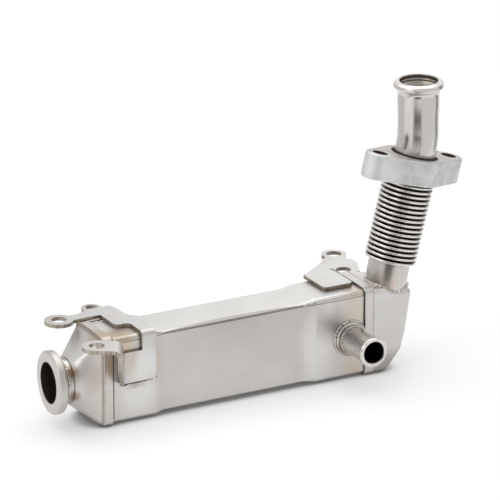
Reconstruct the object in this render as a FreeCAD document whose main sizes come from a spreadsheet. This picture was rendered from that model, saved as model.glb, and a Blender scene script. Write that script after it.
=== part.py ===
import FreeCAD, Part
import math
import os

import Sketcher

# Exhaust gas recirculation cooler, in millimetres.
# The origin is the centre of the gas inlet's sealing face. +X runs along the core from the
# inlet to the outlet, +Y points to the back of the cooler and +Z points up.

os.makedirs("parts", exist_ok=True)
doc = FreeCAD.newDocument("gas_cooler")

# Driving dimensions

sheet = doc.addObject("Spreadsheet::Sheet", "Sizes")
dimensions = [
    # name, value, what it is
    ("inlet_reach", 30.0, "sealing face of the inlet to the near edge of the cone's skirt"),
    ("inlet_yaw", 4.9, "turn of the inlet flange about the vertical, in degrees"),
    ("core_length", 190.6, "near edge of the skirt to the near edge of the outlet collar"),
    ("end_width", 35.4, "bulged ends of the shell, across, outside"),
    ("end_height", 57.5, "bulged ends of the shell, tall, outside"),
    ("end_corner", 3.0, "corner radius of the bulged ends, outside"),
    ("mid_width", 33.2, "middle of the shell, across, outside"),
    ("mid_height", 54.0, "middle of the shell, tall, outside"),
    ("mid_corner", 1.6, "corner radius of the middle of the shell, outside"),
    ("inlet_end_length", 38.0, "near edge of the skirt to the start of the first ramp"),
    ("inlet_ramp", 6.0, "length of the ramp from the inlet bulge to the middle"),
    ("outlet_end_length", 35.6, "end of the second ramp to the near edge of the collar"),
    ("outlet_ramp", 9.0, "length of the ramp from the middle to the outlet bulge"),
    ("shell_wall", 1.2, "sheet of the shell"),
    ("shell_lap", 5.3, "length of shell inside the skirt, and inside the collar"),
    ("seam_drop", 1.4, "shell seam below the top face of the middle"),
    ("skirt_length", 6.3, "straight skirt of the inlet cone"),
    ("skirt_wall", 1.6, "wall of the inlet cone and its skirt"),
    ("collar_length", 6.3, "collar round the outlet end of the shell"),
    ("collar_wall", 1.6, "wall of the outlet collar"),
    ("port_bore", 26.7, "bore of the gas inlet flange"),
    ("ring_diameter", 41.4, "gas inlet flange, outside"),
    ("ring_chamfer", 0.9, "chamfer at the sealing face"),
    ("ring_land", 4.6, "sealing face to the start of the back bevel"),
    ("ring_length", 8.2, "gas inlet flange, along its axis"),
    ("ring_foot", 32.4, "diameter at the foot of the back bevel"),
    ("inlet_neck_diameter", 29.2, "round neck between the flange and the cone"),
    ("cone_start", 12.1, "sealing face to the start of the cone"),
    ("cone_diameter", 31.3, "small end of the cone, outside"),
    ("header_thickness", 2.5, "tube plates"),
    ("header_inset", 0.6, "tube plate back from the end of the shell"),
    ("braze_gap", 0.05, "gap round brazed pieces, each side"),
    ("tube_width", 25.0, "flat gas tube, across"),
    ("tube_height", 6.4, "flat gas tube, tall"),
    ("tube_corner", 3.1, "edge radius of a flat gas tube"),
    ("tube_wall", 0.6, "wall of a flat gas tube"),
    ("tube_pitch", 8.2, "spacing of the gas tubes"),
    ("tube_count", 6, "number of gas tubes"),
    ("tube_proud", 1.0, "gas tube past the outer face of each tube plate"),
    ("fin_sheet", 0.25, "sheet of the folded fins"),
    ("fin_pitch", 3.0, "one full fold of a fin"),
    ("fin_setback", 4.0, "fin back from each end of its tube"),
    ("baffle_thickness", 1.0, "baffles"),
    ("baffle_window", 7.0, "height left open past each baffle"),
    ("first_baffle", 66.0, "near edge of the skirt to the first baffle"),
    ("second_baffle", 122.0, "near edge of the skirt to the second baffle"),
    ("baffle_gap", 0.2, "baffle clear of the shell, each side"),
    ("baffle_corner", 0.8, "corner radius of a baffle"),
    ("tank_wall", 1.6, "wall of the outlet tank"),
    ("tank_bend", 9.0, "outer radius of the bends down the back of the outlet tank"),
    ("tank_foot", 10.5, "collar to the bend in the underside of the tank"),
    ("tank_shin", 21.9, "collar to the end of the tank's slope"),
    ("tank_shin_rise", 13.5, "height of that end above the underside"),
    ("tank_knee", 25.4, "collar to the knee of the tank"),
    ("tank_knee_rise", 27.0, "height of the knee above the underside"),
    ("tank_reach", 29.9, "collar to the far top corner of the tank"),
    ("tank_top_drop", 0.6, "top of the tank below the top of the collar, near side"),
    ("tank_top_fall", 4.9, "fall of the tank's top from the near side to the far corner"),
    ("neck_margin", 0.5, "neck behind the front face of the tank"),
    ("pipe_diameter", 27.2, "outlet pipe and neck, outside"),
    ("pipe_wall", 1.2, "wall of the outlet pipe and neck"),
    ("bellows_inset", 19.8, "collar to the start of the bellows, along X"),
    ("bellows_rise", 11.05, "start of the bellows, above the top of the collar"),
    ("outlet_tilt", 14.3, "lean of the bellows from the vertical, in degrees"),
    ("neck_tilt", 6.0, "lean of the neck where it leaves the tank, in degrees"),
    ("neck_bend", 80.0, "radius of the neck's bend"),
    ("neck_stub", 1.5, "straight end of the neck under the bellows"),
    ("neck_root", 7.0, "straight part of the neck, into the tank"),
    ("neck_gap", 0.05, "gap round the neck in the tank's hole"),
    ("bellows_diameter", 34.4, "bellows over the crests"),
    ("bellows_depth", 3.1, "depth of a convolution, outside"),
    ("bellows_pitch", 3.23, "spacing of the convolutions"),
    ("bellows_count", 17, "number of convolutions"),
    ("bellows_wall", 0.4, "sheet of the bellows"),
    ("flange_thickness", 16.8, "oval flange"),
    ("flange_turn", 10.7, "turn of the oval flange about its own axis, in degrees"),
    ("bolt_spacing", 61.0, "bolt holes of the oval flange, centre to centre"),
    ("bolt_hole", 10.0, "bolt holes of the oval flange"),
    ("flange_end_radius", 9.4, "rounded ends of the oval flange"),
    ("flange_mid_radius", 20.9, "middle of the oval flange"),
    ("flange_edge", 1.0, "rounded outer edge of the oval flange"),
    ("recess_diameter", 31.4, "recess round the pipe in the flange"),
    ("recess_depth", 4.5, "depth of that recess"),
    ("flange_gap", 0.1, "flange clear of the pipe, each side"),
    ("flange_lift", 0.4, "flange above the last convolution"),
    ("pipe_lead", 22.0, "straight pipe through the flange, to the bend"),
    ("pipe_bend", 45.0, "radius of the bend above the flange"),
    ("pipe_rise", 34.2, "straight upright pipe above the bend"),
    ("bead_diameter", 32.4, "bead at the pipe's end"),
    ("bead_width", 5.0, "bead, along the pipe"),
    ("bead_land", 2.4, "flat crest of the bead"),
    ("bead_setback", 0.3, "bead back from the pipe's end"),
    ("nipple_diameter", 18.0, "coolant nipples, outside"),
    ("nipple_bore", 14.2, "coolant nipples, bore"),
    ("nipple_reach", 31.0, "coolant nipple past the shell"),
    ("nipple_bead", 20.0, "bead of a coolant nipple"),
    ("nipple_bead_width", 4.4, "bead of a coolant nipple, along it"),
    ("nipple_bead_land", 2.2, "flat crest of that bead"),
    ("nipple_lip", 0.7, "rounded end of a coolant nipple"),
    ("boss_diameter", 22.8, "boss round the root of a nipple"),
    ("boss_height", 3.0, "that boss, off the shell"),
    ("boss_gap", 0.3, "boss clear of the outlet collar"),
    ("boss_step_diameter", 19.8, "upper step of that boss"),
    ("boss_step_height", 1.6, "upper step, off the boss"),
    ("nipple_drop", 2.2, "coolant nipples below the core's axis"),
    ("front_nipple_inset", 10.2, "front coolant nipple to the near edge of the collar"),
    ("rear_nipple_x", 56.0, "near edge of the skirt to the rear coolant nipple"),
    ("bracket_sheet", 2.5, "sheet of both brackets"),
    ("bracket_bend", 3.5, "outer radius of the brackets' bends"),
    ("ear_reach", 10.0, "both outer holes of the inlet bracket, before the skirt"),
    ("ear_radius", 9.4, "ears of the inlet bracket"),
    ("ear_hole", 10.0, "outer holes of the inlet bracket"),
    ("back_ear_y", 24.2, "back ear hole, from the core's axis"),
    ("front_ear_y", 28.6, "front ear hole, from the core's axis"),
    ("ear_neck", 8.6, "width of the neck of the back ear"),
    ("ear_set", 0.6, "middle of that neck, in front of the hole's centre"),
    ("ear_taper", 15.0, "hole of the back ear to the end of its neck, along X"),
    ("lug_x", 24.0, "near edge of the skirt to the rear lug of the inlet bracket"),
    ("lug_y", 45.0, "rear lug hole, from the core's axis"),
    ("lug_radius", 6.6, "rear lug"),
    ("lug_hole", 8.0, "hole of the rear lug"),
    ("lug_drop", 4.6, "rear lug below the bracket's top"),
    ("lug_step", 5.0, "slope down to the rear lug, along Y"),
    ("saddle_end", 36.6, "near edge of the skirt to the far edge of the inlet bracket"),
    ("saddle_waist", 32.2, "near edge of the skirt to the far edge of its back part"),
    ("saddle_flare", 5.0, "far edge starts to flare, behind the core's axis"),
    ("flare_run", 8.0, "flare of the far edge, along Y"),
    ("saddle_back", 32.0, "back edge of the inlet bracket, from the core's axis"),
    ("saddle_drop", 30.8, "inlet bracket's front plate below the top of the shell"),
    ("saddle_corner", 8.0, "slanted back corner of the inlet bracket, along Y"),
    ("lug_shoulder", 1.5, "end of that slant, in front of the back edge"),
    ("window_x", 26.8, "near edge of the skirt to the far end of the bracket's notch"),
    ("saddle_start", 17.2, "near edge of the skirt to the near edge of the bracket's top"),
    ("window_y", 1.8, "back edge of the notch, in front of the core's axis"),
    ("window_drop", 10.0, "notch, down the front of the shell"),
    ("window_lead", 6.0, "notch past the root of the leg, along X"),
    ("ear_relief", 0.4, "notch clear of the front ear"),
    ("leg_lean", 30.0, "turn of the front leg out of the YZ plane, in degrees"),
    ("leg_face", 16.2, "ear hole to the outer face of the leg"),
    ("leg_bend", 5.5, "outer radius of the bend between the leg and its ear"),
    ("leg_step", 13.6, "full depth of the leg's free edge, from the ear's top"),
    ("leg_foot", 4.0, "slope of the leg's lower edge, clear of its root"),
    ("pad_gap", 2.0, "far edge of the pad to the near edge of the collar"),
    ("pad_width", 21.6, "outlet bracket's pad, along X"),
    ("pad_front", 6.6, "front edge of the pad, in front of the core's axis"),
    ("pad_corner", 3.0, "rounded front corners of the pad"),
    ("pad_taper", 7.0, "near side of the pad narrows by this much down its joggle"),
    ("joggle_start", 21.0, "start of the joggle, behind the core's axis"),
    ("joggle_run", 8.5, "joggle, along Y"),
    ("joggle_drop", 4.6, "ears of the outlet bracket below its pad"),
    ("wing_back", 33.0, "back edge of the joggled strip, behind the core's axis"),
    ("wing_front", 20.4, "front edge of the ears, behind the core's axis"),
    ("wing_side", 25.6, "near edge of the collar to the far edge of the ears"),
    ("near_hole_x", 10.4, "near edge of the collar to the near hole of the outlet bracket"),
    ("near_hole_y", 28.0, "near hole of the outlet bracket, behind the core's axis"),
    ("far_hole_x", 19.8, "near edge of the collar to the far hole of the outlet bracket"),
    ("far_hole_y", 57.4, "far hole of the outlet bracket, behind the core's axis"),
    ("wing_radius", 8.2, "ear round the far hole"),
    ("wing_lead", 8.0, "near hole to the end of the ears' front edge, along X"),
    ("wing_rise", 9.0, "near hole to the start of the ears' far edge, along Y"),
    ("wing_top", 14.5, "near hole to the end of the ears' far edge, along Y"),
    ("wing_slant", 3.2, "slant at the end of the ears' far edge, along X"),
    ("wing_slant_end", 17.0, "near hole to the end of that slant, along Y"),
    ("waist_x", 10.0, "near hole to the waist on the ears' near side, along X"),
    ("waist_y", 16.0, "near hole to that waist, along Y"),
    ("hip_x", 17.0, "near hole to the hip before that waist, along X"),
    ("hip_y", 11.2, "near hole to that hip, along Y"),
    ("strip_corner", 1.5, "near back corner of the strip, in front of its back edge"),
    ("slot_x", 4.0, "near edge of the collar to the relief slot beside the joggle"),
    ("slot_width", 2.2, "relief slot"),
    ("cut_margin", 1.0, "cutting shapes past the sheet that they cut"),
]
for row, (name, value, note) in enumerate(dimensions, 1):
    sheet.set("A%d" % row, note)
    sheet.set("B%d" % row, str(value))
    sheet.setAlias("B%d" % row, name)
doc.recompute()


def size(name):
    return float(getattr(sheet, name))


def value_of(expression):
    return float(sheet.evalExpression(expression.replace("Sizes.", "")))


# Places that several pieces share, as expressions of the sheet

top_of_end = "Sizes.end_height/2"
skirt_height = "(Sizes.end_height + 2*Sizes.skirt_wall)"
skirt_width = "(Sizes.end_width + 2*Sizes.skirt_wall)"
collar_height = "(Sizes.end_height + 2*Sizes.collar_wall)"
collar_width = "(Sizes.end_width + 2*Sizes.collar_wall)"
shell_start = "(Sizes.inlet_reach + Sizes.skirt_length - Sizes.shell_lap)"
collar_start = "(Sizes.inlet_reach + Sizes.core_length)"
shell_end = "(Sizes.inlet_reach + Sizes.core_length + Sizes.shell_lap)"
tank_start = "(Sizes.inlet_reach + Sizes.core_length + Sizes.collar_length)"
inlet_header_x = "(%s + Sizes.header_inset)" % shell_start
outlet_header_x = "(%s - Sizes.header_inset - Sizes.header_thickness)" % shell_end
tube_start = "(%s - Sizes.tube_proud)" % inlet_header_x
tube_length = "(%s + Sizes.header_thickness + 2*Sizes.tube_proud - %s)" % (
    outlet_header_x, inlet_header_x)
front_nipple_x = "(Sizes.core_length - Sizes.front_nipple_inset)"
outlet_offset = "(Sizes.end_width/2 + Sizes.collar_wall - Sizes.pipe_diameter/2 - Sizes.neck_margin)"
bellows_x = "(%s + Sizes.bellows_inset)" % tank_start
bellows_z = "(Sizes.end_height/2 + Sizes.collar_wall + Sizes.bellows_rise)"
bellows_length = "(Sizes.bellows_count*Sizes.bellows_pitch)"
bellows_end_x = "(%s + %s*sin(Sizes.outlet_tilt))" % (bellows_x, bellows_length)
bellows_end_z = "(%s + %s*cos(Sizes.outlet_tilt))" % (bellows_z, bellows_length)
flange_x = "(%s + (%s + Sizes.flange_lift)*sin(Sizes.outlet_tilt))" % (bellows_x, bellows_length)
flange_z = "(%s + (%s + Sizes.flange_lift)*cos(Sizes.outlet_tilt))" % (bellows_z, bellows_length)


# Building blocks

def new_body(label):
    body = doc.addObject("PartDesign::Body", label)
    body.Label = label
    return body


def new_sketch(body, name, plane="XY_Plane"):
    sketch = body.newObject("Sketcher::SketchObject", name)
    origin_plane = [f for f in body.Origin.OriginFeatures if f.Role == plane][0]
    sketch.AttachmentSupport = [(origin_plane, "")]
    sketch.MapMode = "FlatFace"
    return sketch


def shift(sketch, **offsets):
    for axis, expression in offsets.items():
        sketch.setExpression("AttachmentOffset.Base.%s" % axis, expression)


def turn(thing, axis, angle, path="Placement"):
    # a turn about one axis, with the angle bound to an expression
    setattr(thing, path, FreeCAD.Placement(
        getattr(thing, path).Base, FreeCAD.Rotation(axis, 10)))
    thing.setExpression("%s.Rotation.Angle" % path, angle)


def place(thing, **places):
    for axis, expression in places.items():
        thing.setExpression("Placement.Base.%s" % axis, expression)


def pin_point(sketch, geometry, point, x, y):
    # ties one point of the sketch to its place by two bound distances
    for kind, expression in (("DistanceX", x), ("DistanceY", y)):
        index = sketch.addConstraint(
            Sketcher.Constraint(kind, -1, 1, geometry, point, value_of(expression)))
        sketch.setExpression("Constraints[%d]" % index, expression)


def polygon(sketch, corners):
    # closed outline of straight lines through corners given as pairs of expressions
    spots = [FreeCAD.Vector(value_of(x), value_of(y), 0) for x, y in corners]
    count = len(spots)
    lines = [sketch.addGeometry(Part.LineSegment(spots[i], spots[(i + 1) % count]), False)
             for i in range(count)]
    for i in range(count):
        sketch.addConstraint(
            Sketcher.Constraint("Coincident", lines[i], 2, lines[(i + 1) % count], 1))
    for line, (x, y) in zip(lines, corners):
        pin_point(sketch, line, 1, x, y)


def circle(sketch, diameter, x="0", y="0"):
    centre = FreeCAD.Vector(value_of(x), value_of(y), 0)
    radius = value_of(diameter) / 2
    index = sketch.addGeometry(
        Part.Circle(centre, FreeCAD.Vector(0, 0, 1), radius), False)
    if x == "0" and y == "0":
        sketch.addConstraint(Sketcher.Constraint("Coincident", index, 3, -1, 1))
    else:
        pin_point(sketch, index, 3, x, y)
    number = sketch.addConstraint(Sketcher.Constraint("Diameter", index, 2 * radius))
    sketch.setExpression("Constraints[%d]" % number, diameter)


def rounded_rectangle(sketch, width, height, radius, y="0"):
    # centred on the sketch's own origin, or raised by y
    w, h, r, lift = [value_of(e) for e in (width, height, radius, y)]
    quarter = math.pi / 2
    arcs = []
    for k, (sx, sy) in enumerate(((1, 1), (-1, 1), (-1, -1), (1, -1))):
        centre = FreeCAD.Vector(sx * (w / 2 - r), sy * (h / 2 - r) + lift, 0)
        arcs.append(sketch.addGeometry(Part.ArcOfCircle(
            Part.Circle(centre, FreeCAD.Vector(0, 0, 1), r), k * quarter, (k + 1) * quarter), False))
    lines = []
    for k in range(4):
        first = sketch.getPoint(arcs[k], 2)
        second = sketch.getPoint(arcs[(k + 1) % 4], 1)
        lines.append(sketch.addGeometry(Part.LineSegment(first, second), False))
    for k in range(4):
        sketch.addConstraint(Sketcher.Constraint("Tangent", arcs[k], 2, lines[k], 1))
        sketch.addConstraint(Sketcher.Constraint("Tangent", lines[k], 2, arcs[(k + 1) % 4], 1))
    sketch.addConstraint(Sketcher.Constraint("Horizontal", lines[0]))
    sketch.addConstraint(Sketcher.Constraint("Vertical", lines[1]))
    for k in (1, 2):
        sketch.addConstraint(Sketcher.Constraint("Equal", arcs[0], arcs[k]))
    number = sketch.addConstraint(Sketcher.Constraint("Radius", arcs[0], r))
    sketch.setExpression("Constraints[%d]" % number, radius)
    pin_point(sketch, arcs[0], 3, "%s/2 - %s" % (width, radius), "%s + %s/2 - %s" % (y, height, radius))
    pin_point(sketch, arcs[2], 3, "%s - %s/2" % (radius, width), "%s + %s - %s/2" % (y, radius, height))


def pad(body, sketch, length, name, both=False, backwards=False):
    feature = body.newObject("PartDesign::Pad", name)
    feature.Profile = sketch
    feature.Length = value_of(length)
    feature.setExpression("Length", length)
    feature.Midplane = both
    feature.Reversed = backwards
    return feature


def pocket(body, sketch, name, length=None, both=False, backwards=False):
    feature = body.newObject("PartDesign::Pocket", name)
    feature.Profile = sketch
    if length is None:
        feature.Type = 1
    else:
        feature.Length = value_of(length)
        feature.setExpression("Length", length)
    feature.Midplane = both
    feature.Reversed = backwards
    return feature


def revolve(body, sketch, name, axis="V_Axis"):
    feature = body.newObject("PartDesign::Revolution", name)
    feature.Profile = sketch
    feature.ReferenceAxis = (sketch, [axis])
    feature.Angle = 360
    return feature


def loft(body, kind, name, sections):
    feature = body.newObject("PartDesign::%sLoft" % kind, name)
    feature.Profile = sections[0]
    feature.Sections = sections[1:]
    feature.Ruled = True
    return feature


def round_edges(body, base, radius, chosen, name):
    # rounds the edges that the test picks out
    doc.recompute()
    edges = ["Edge%d" % (i + 1) for i, e in enumerate(base.Shape.Edges) if chosen(e)]
    if not edges:
        raise RuntimeError("no edge to round for " + name)
    feature = body.newObject("PartDesign::Fillet", name)
    feature.Base = (base, edges)
    feature.Radius = value_of(radius)
    feature.setExpression("Radius", radius)
    return feature


def centre_of(edge):
    return edge.BoundBox.Center


def along(edge, axis):
    # true for a straight edge that runs along the given direction
    if not isinstance(edge.Curve, Part.Line):
        return False
    return abs(abs(edge.Curve.Direction.dot(axis)) - 1) < 1e-6


def near(a, b, reach=0.02):
    return abs(a - b) < reach


X = FreeCAD.Vector(1, 0, 0)
Y = FreeCAD.Vector(0, 1, 0)
Z = FreeCAD.Vector(0, 0, 1)
pieces = []


# Gas inlet flange, a turned ring with a bevelled back for a clamp band

ring = new_body("inlet_flange")
outline = new_sketch(ring, "RingOutline")
polygon(outline, [
    ("0", "Sizes.port_bore/2"),
    ("0", "Sizes.ring_diameter/2 - Sizes.ring_chamfer"),
    ("Sizes.ring_chamfer", "Sizes.ring_diameter/2"),
    ("Sizes.ring_land", "Sizes.ring_diameter/2"),
    ("Sizes.ring_land + Sizes.ring_chamfer", "Sizes.ring_diameter/2 - Sizes.ring_chamfer/2"),
    ("Sizes.ring_length - Sizes.ring_chamfer", "Sizes.ring_foot/2"),
    ("Sizes.ring_length", "Sizes.inlet_neck_diameter/2"),
    ("Sizes.ring_length", "Sizes.port_bore/2"),
])
revolve(ring, outline, "RingTurned", "H_Axis")
turn(ring, Z, "-Sizes.inlet_yaw")
pieces.append(ring)


# Inlet cone, pressed from round to rectangular, with a straight skirt over the shell

cone = new_body("inlet_cone")


def neck_circle(name, diameter, distance):
    # a circle square to the turned inlet axis, at a distance from the sealing face
    sketch = new_sketch(cone, name, "YZ_Plane")
    circle(sketch, diameter)
    turn(sketch, Y, "-Sizes.inlet_yaw", "AttachmentOffset")
    shift(sketch, x="-(%s)*sin(Sizes.inlet_yaw)" % distance, z="(%s)*cos(Sizes.inlet_yaw)" % distance)
    return sketch


def skirt_section(name, width, height, radius):
    sketch = new_sketch(cone, name, "YZ_Plane")
    rounded_rectangle(sketch, width, height, radius)
    shift(sketch, z="Sizes.inlet_reach")
    return sketch


cone_neck = neck_circle("ConeNeck", "Sizes.inlet_neck_diameter", "Sizes.ring_length")
pad(cone, cone_neck, "Sizes.cone_start - Sizes.ring_length + Sizes.cut_margin/2", "ConeNeckPad")
cone_small = neck_circle("ConeSmallEnd", "Sizes.cone_diameter", "Sizes.cone_start")
cone_large = skirt_section("ConeLargeEnd", skirt_width, skirt_height,
                           "(Sizes.end_corner + Sizes.skirt_wall)")
loft(cone, "Additive", "ConeOutside", [cone_small, cone_large])
skirt = skirt_section("Skirt", skirt_width, skirt_height, "(Sizes.end_corner + Sizes.skirt_wall)")
pad(cone, skirt, "Sizes.skirt_length", "SkirtPad")
hollow_small = neck_circle("HollowSmallEnd", "(Sizes.cone_diameter - 2*Sizes.skirt_wall)",
                           "Sizes.cone_start")
hollow_large = skirt_section("HollowLargeEnd", "Sizes.end_width", "Sizes.end_height", "Sizes.end_corner")
loft(cone, "Subtractive", "ConeInside", [hollow_small, hollow_large])
sleeve = skirt_section("Sleeve", "Sizes.end_width", "Sizes.end_height", "Sizes.end_corner")
pocket(cone, sleeve, "SleevePocket", "Sizes.skirt_length", backwards=True)
neck_bore = neck_circle("NeckBore", "Sizes.port_bore", "Sizes.ring_length")
pocket(cone, neck_bore, "NeckBorePocket", "Sizes.cone_start - Sizes.ring_length + Sizes.cut_margin",
       backwards=True)
pieces.append(cone)


# Shell of the core: a tube of five straight lengths, split at its seam into a tray and a cover

def shell_loft(name, inset):
    # the shell's outside, or its inside when the sheet's thickness is taken off
    body = new_body(name)
    stations = [
        (shell_start, "end"),
        ("(Sizes.inlet_reach + Sizes.inlet_end_length)", "end"),
        ("(Sizes.inlet_reach + Sizes.inlet_end_length + Sizes.inlet_ramp)", "mid"),
        ("(%s - Sizes.outlet_end_length - Sizes.outlet_ramp)" % collar_start, "mid"),
        ("(%s - Sizes.outlet_end_length)" % collar_start, "end"),
        (shell_end, "end"),
    ]
    sections = []
    for number, (station, part) in enumerate(stations, 1):
        section = new_sketch(body, "%sSection%d" % (name, number), "YZ_Plane")
        rounded_rectangle(section,
                          "(Sizes.%s_width - 2*%s)" % (part, inset),
                          "(Sizes.%s_height - 2*%s)" % (part, inset),
                          "(Sizes.%s_corner - %s)" % (part, inset))
        shift(section, z=station)
        sections.append(section)
    loft(body, "Additive", name + "Loft", sections)
    return body


shell_outside = shell_loft("ShellOutside", "0")
shell_inside = shell_loft("ShellInside", "Sizes.shell_wall")

shell_tube = doc.addObject("Part::Cut", "ShellTube")
shell_tube.Base = shell_outside
shell_tube.Tool = shell_inside


def cross_bore(name, x, towards):
    # the hole for a coolant nipple through one side of the shell
    bore = doc.addObject("Part::Cylinder", name)
    bore.setExpression("Radius", "Sizes.nipple_diameter/2 + Sizes.braze_gap")
    bore.setExpression("Height", "Sizes.end_width")
    turn(bore, X, "%d" % (90 if towards < 0 else -90))
    place(bore, x="Sizes.inlet_reach + " + x, z="-Sizes.nipple_drop")
    return bore


port_bores = doc.addObject("Part::MultiFuse", "PortBores")
port_bores.Shapes = [
    cross_bore("FrontPortBore", front_nipple_x, -1),
    cross_bore("RearPortBore", "Sizes.rear_nipple_x", 1),
]
bored_shell = doc.addObject("Part::Cut", "BoredShell")
bored_shell.Base = shell_tube
bored_shell.Tool = port_bores

cover_space = doc.addObject("Part::Box", "CoverSpace")
cover_space.setExpression("Length", "%s + Sizes.end_width" % shell_end)
cover_space.setExpression("Width", "2*Sizes.end_width")
cover_space.setExpression("Height", "Sizes.end_height")
place(cover_space, y="-Sizes.end_width", z="Sizes.mid_height/2 - Sizes.seam_drop")

tray = doc.addObject("Part::Cut", "shell_tray")
tray.Label = "shell_tray"
tray.Base = bored_shell
tray.Tool = cover_space
pieces.append(tray)

cover = doc.addObject("Part::Common", "shell_cover")
cover.Label = "shell_cover"
cover.Base = bored_shell
cover.Tool = cover_space
pieces.append(cover)


# Tube plates, baffles, gas tubes and fins inside the shell

def tube_slots(body, name):
    # one slot for the lowest tube, repeated up the plate
    slot = new_sketch(body, name, "YZ_Plane")
    rounded_rectangle(slot,
                      "(Sizes.tube_width + 2*Sizes.braze_gap)",
                      "(Sizes.tube_height + 2*Sizes.braze_gap)",
                      "(Sizes.tube_corner + Sizes.braze_gap)",
                      "(-(Sizes.tube_count - 1)*Sizes.tube_pitch/2)")
    cut = pocket(body, slot, name + "Pocket", both=True)
    doc.recompute()
    rows = body.newObject("PartDesign::LinearPattern", name + "Rows")
    rows.Originals = [cut]
    rows.Direction = (slot, ["V_Axis"])
    rows.setExpression("Length", "(Sizes.tube_count - 1)*Sizes.tube_pitch")
    rows.setExpression("Occurrences", "Sizes.tube_count")
    body.Tip = rows


def tube_plate(label, x):
    body = new_body(label)
    outline = new_sketch(body, label + "Outline", "YZ_Plane")
    rounded_rectangle(outline,
                      "(Sizes.end_width - 2*Sizes.shell_wall - 2*Sizes.braze_gap)",
                      "(Sizes.end_height - 2*Sizes.shell_wall - 2*Sizes.braze_gap)",
                      "(Sizes.end_corner - Sizes.shell_wall)")
    pad(body, outline, "Sizes.header_thickness", label + "Pad")
    tube_slots(body, label + "Slot")
    place(body, x=x)
    return body


pieces.append(tube_plate("inlet_tube_plate", inlet_header_x))
pieces.append(tube_plate("outlet_tube_plate", outlet_header_x))


def baffle(label, x, side):
    # side is 1 where the window is above the baffle, and -1 where it is below
    body = new_body(label)
    outline = new_sketch(body, label + "Outline", "YZ_Plane")
    rounded_rectangle(outline,
                      "(Sizes.mid_width - 2*Sizes.shell_wall - 2*Sizes.baffle_gap)",
                      "(Sizes.mid_height - 2*Sizes.shell_wall - 2*Sizes.baffle_gap - Sizes.baffle_window)",
                      "Sizes.baffle_corner",
                      "(%d*Sizes.baffle_window/2)" % -side)
    pad(body, outline, "Sizes.baffle_thickness", label + "Pad")
    tube_slots(body, label + "Slot")
    place(body, x="Sizes.inlet_reach + " + x)
    return body


pieces.append(baffle("first_baffle", "Sizes.first_baffle", 1))
pieces.append(baffle("second_baffle", "Sizes.second_baffle", -1))


def gas_tube(number):
    label = "gas_tube_%d" % number
    body = new_body(label)
    outline = new_sketch(body, label + "Outline", "YZ_Plane")
    rounded_rectangle(outline, "Sizes.tube_width", "Sizes.tube_height", "Sizes.tube_corner")
    rounded_rectangle(outline,
                      "(Sizes.tube_width - 2*Sizes.tube_wall)",
                      "(Sizes.tube_height - 2*Sizes.tube_wall)",
                      "(Sizes.tube_corner - Sizes.tube_wall)")
    pad(body, outline, tube_length, label + "Pad")
    place(body, x=tube_start, z="(%d - (Sizes.tube_count - 1)/2)*Sizes.tube_pitch" % (number - 1))
    return body


def gas_fin(number):
    # a strip folded up and down between the tube's flat walls
    label = "fin_%d" % number
    body = new_body(label)
    outline = new_sketch(body, label + "Outline", "YZ_Plane")
    level = size("tube_width") - 2 * size("tube_corner")
    half_height = size("tube_height") / 2 - size("tube_wall") - size("braze_gap")
    folds = int(level / (size("fin_pitch") / 2))
    step = level / folds
    sheet_rise = size("fin_sheet") * math.hypot(step, 2 * half_height) / step
    crests = []
    for k in range(folds + 1):
        up = half_height if k % 2 else sheet_rise - half_height
        crests.append((k * step - level / 2, up))
    under = [(y, z - sheet_rise) for y, z in reversed(crests)]
    spots = [FreeCAD.Vector(y, z, 0) for y, z in crests + under]
    lines = [outline.addGeometry(Part.LineSegment(spots[i], spots[(i + 1) % len(spots)]), False)
             for i in range(len(spots))]
    for i in range(len(lines)):
        outline.addConstraint(
            Sketcher.Constraint("Coincident", lines[i], 2, lines[(i + 1) % len(lines)], 1))
    pad(body, outline, "(%s - 2*Sizes.fin_setback)" % tube_length, label + "Pad")
    place(body, x="%s + Sizes.fin_setback" % tube_start,
          z="(%d - (Sizes.tube_count - 1)/2)*Sizes.tube_pitch" % (number - 1))
    return body


for number in range(1, int(size("tube_count")) + 1):
    pieces.append(gas_tube(number))
    pieces.append(gas_fin(number))


# Outlet collar, a rectangular band over the end of the shell

collar = new_body("outlet_collar")
band = new_sketch(collar, "Band", "YZ_Plane")
rounded_rectangle(band, collar_width, collar_height, "(Sizes.end_corner + Sizes.collar_wall)")
rounded_rectangle(band, "Sizes.end_width", "Sizes.end_height", "Sizes.end_corner")
pad(collar, band, "Sizes.collar_length", "BandPad")
place(collar, x=collar_start)
pieces.append(collar)


# Outlet tank, a drawn elbow box that turns the gas up into the neck

def free_polygon(sketch, points):
    # a closed outline through points worked out from the sheet's own sizes
    count = len(points)
    for k in range(count):
        sketch.addGeometry(Part.LineSegment(points[k], points[(k + 1) % count]), False)
    for k in range(count):
        sketch.addConstraint(Sketcher.Constraint("Coincident", k, 2, (k + 1) % count, 1))


def inset_outline(points, inset):
    # moves every side of a counter-clockwise outline inwards by the same distance
    count = len(points)
    moved = []
    for k in range(count):
        before, here, after = points[k - 1], points[k], points[(k + 1) % count]
        first = (here - before).normalize()
        second = (after - here).normalize()
        normal = FreeCAD.Vector(-first.y, first.x, 0) + FreeCAD.Vector(-second.y, second.x, 0)
        share = 1 + first.dot(second)
        moved.append(here + normal * (inset / share))
    return moved


tank_low = -value_of(collar_height) / 2
tank_high = -tank_low - size("tank_top_drop")
tank_outline = [
    FreeCAD.Vector(0, tank_low, 0),
    FreeCAD.Vector(size("tank_foot"), tank_low, 0),
    FreeCAD.Vector(size("tank_shin"), tank_low + size("tank_shin_rise"), 0),
    FreeCAD.Vector(size("tank_knee"), tank_low + size("tank_knee_rise"), 0),
    FreeCAD.Vector(size("tank_reach"), tank_high - size("tank_top_fall"), 0),
    FreeCAD.Vector(0, tank_high, 0),
]


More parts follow.
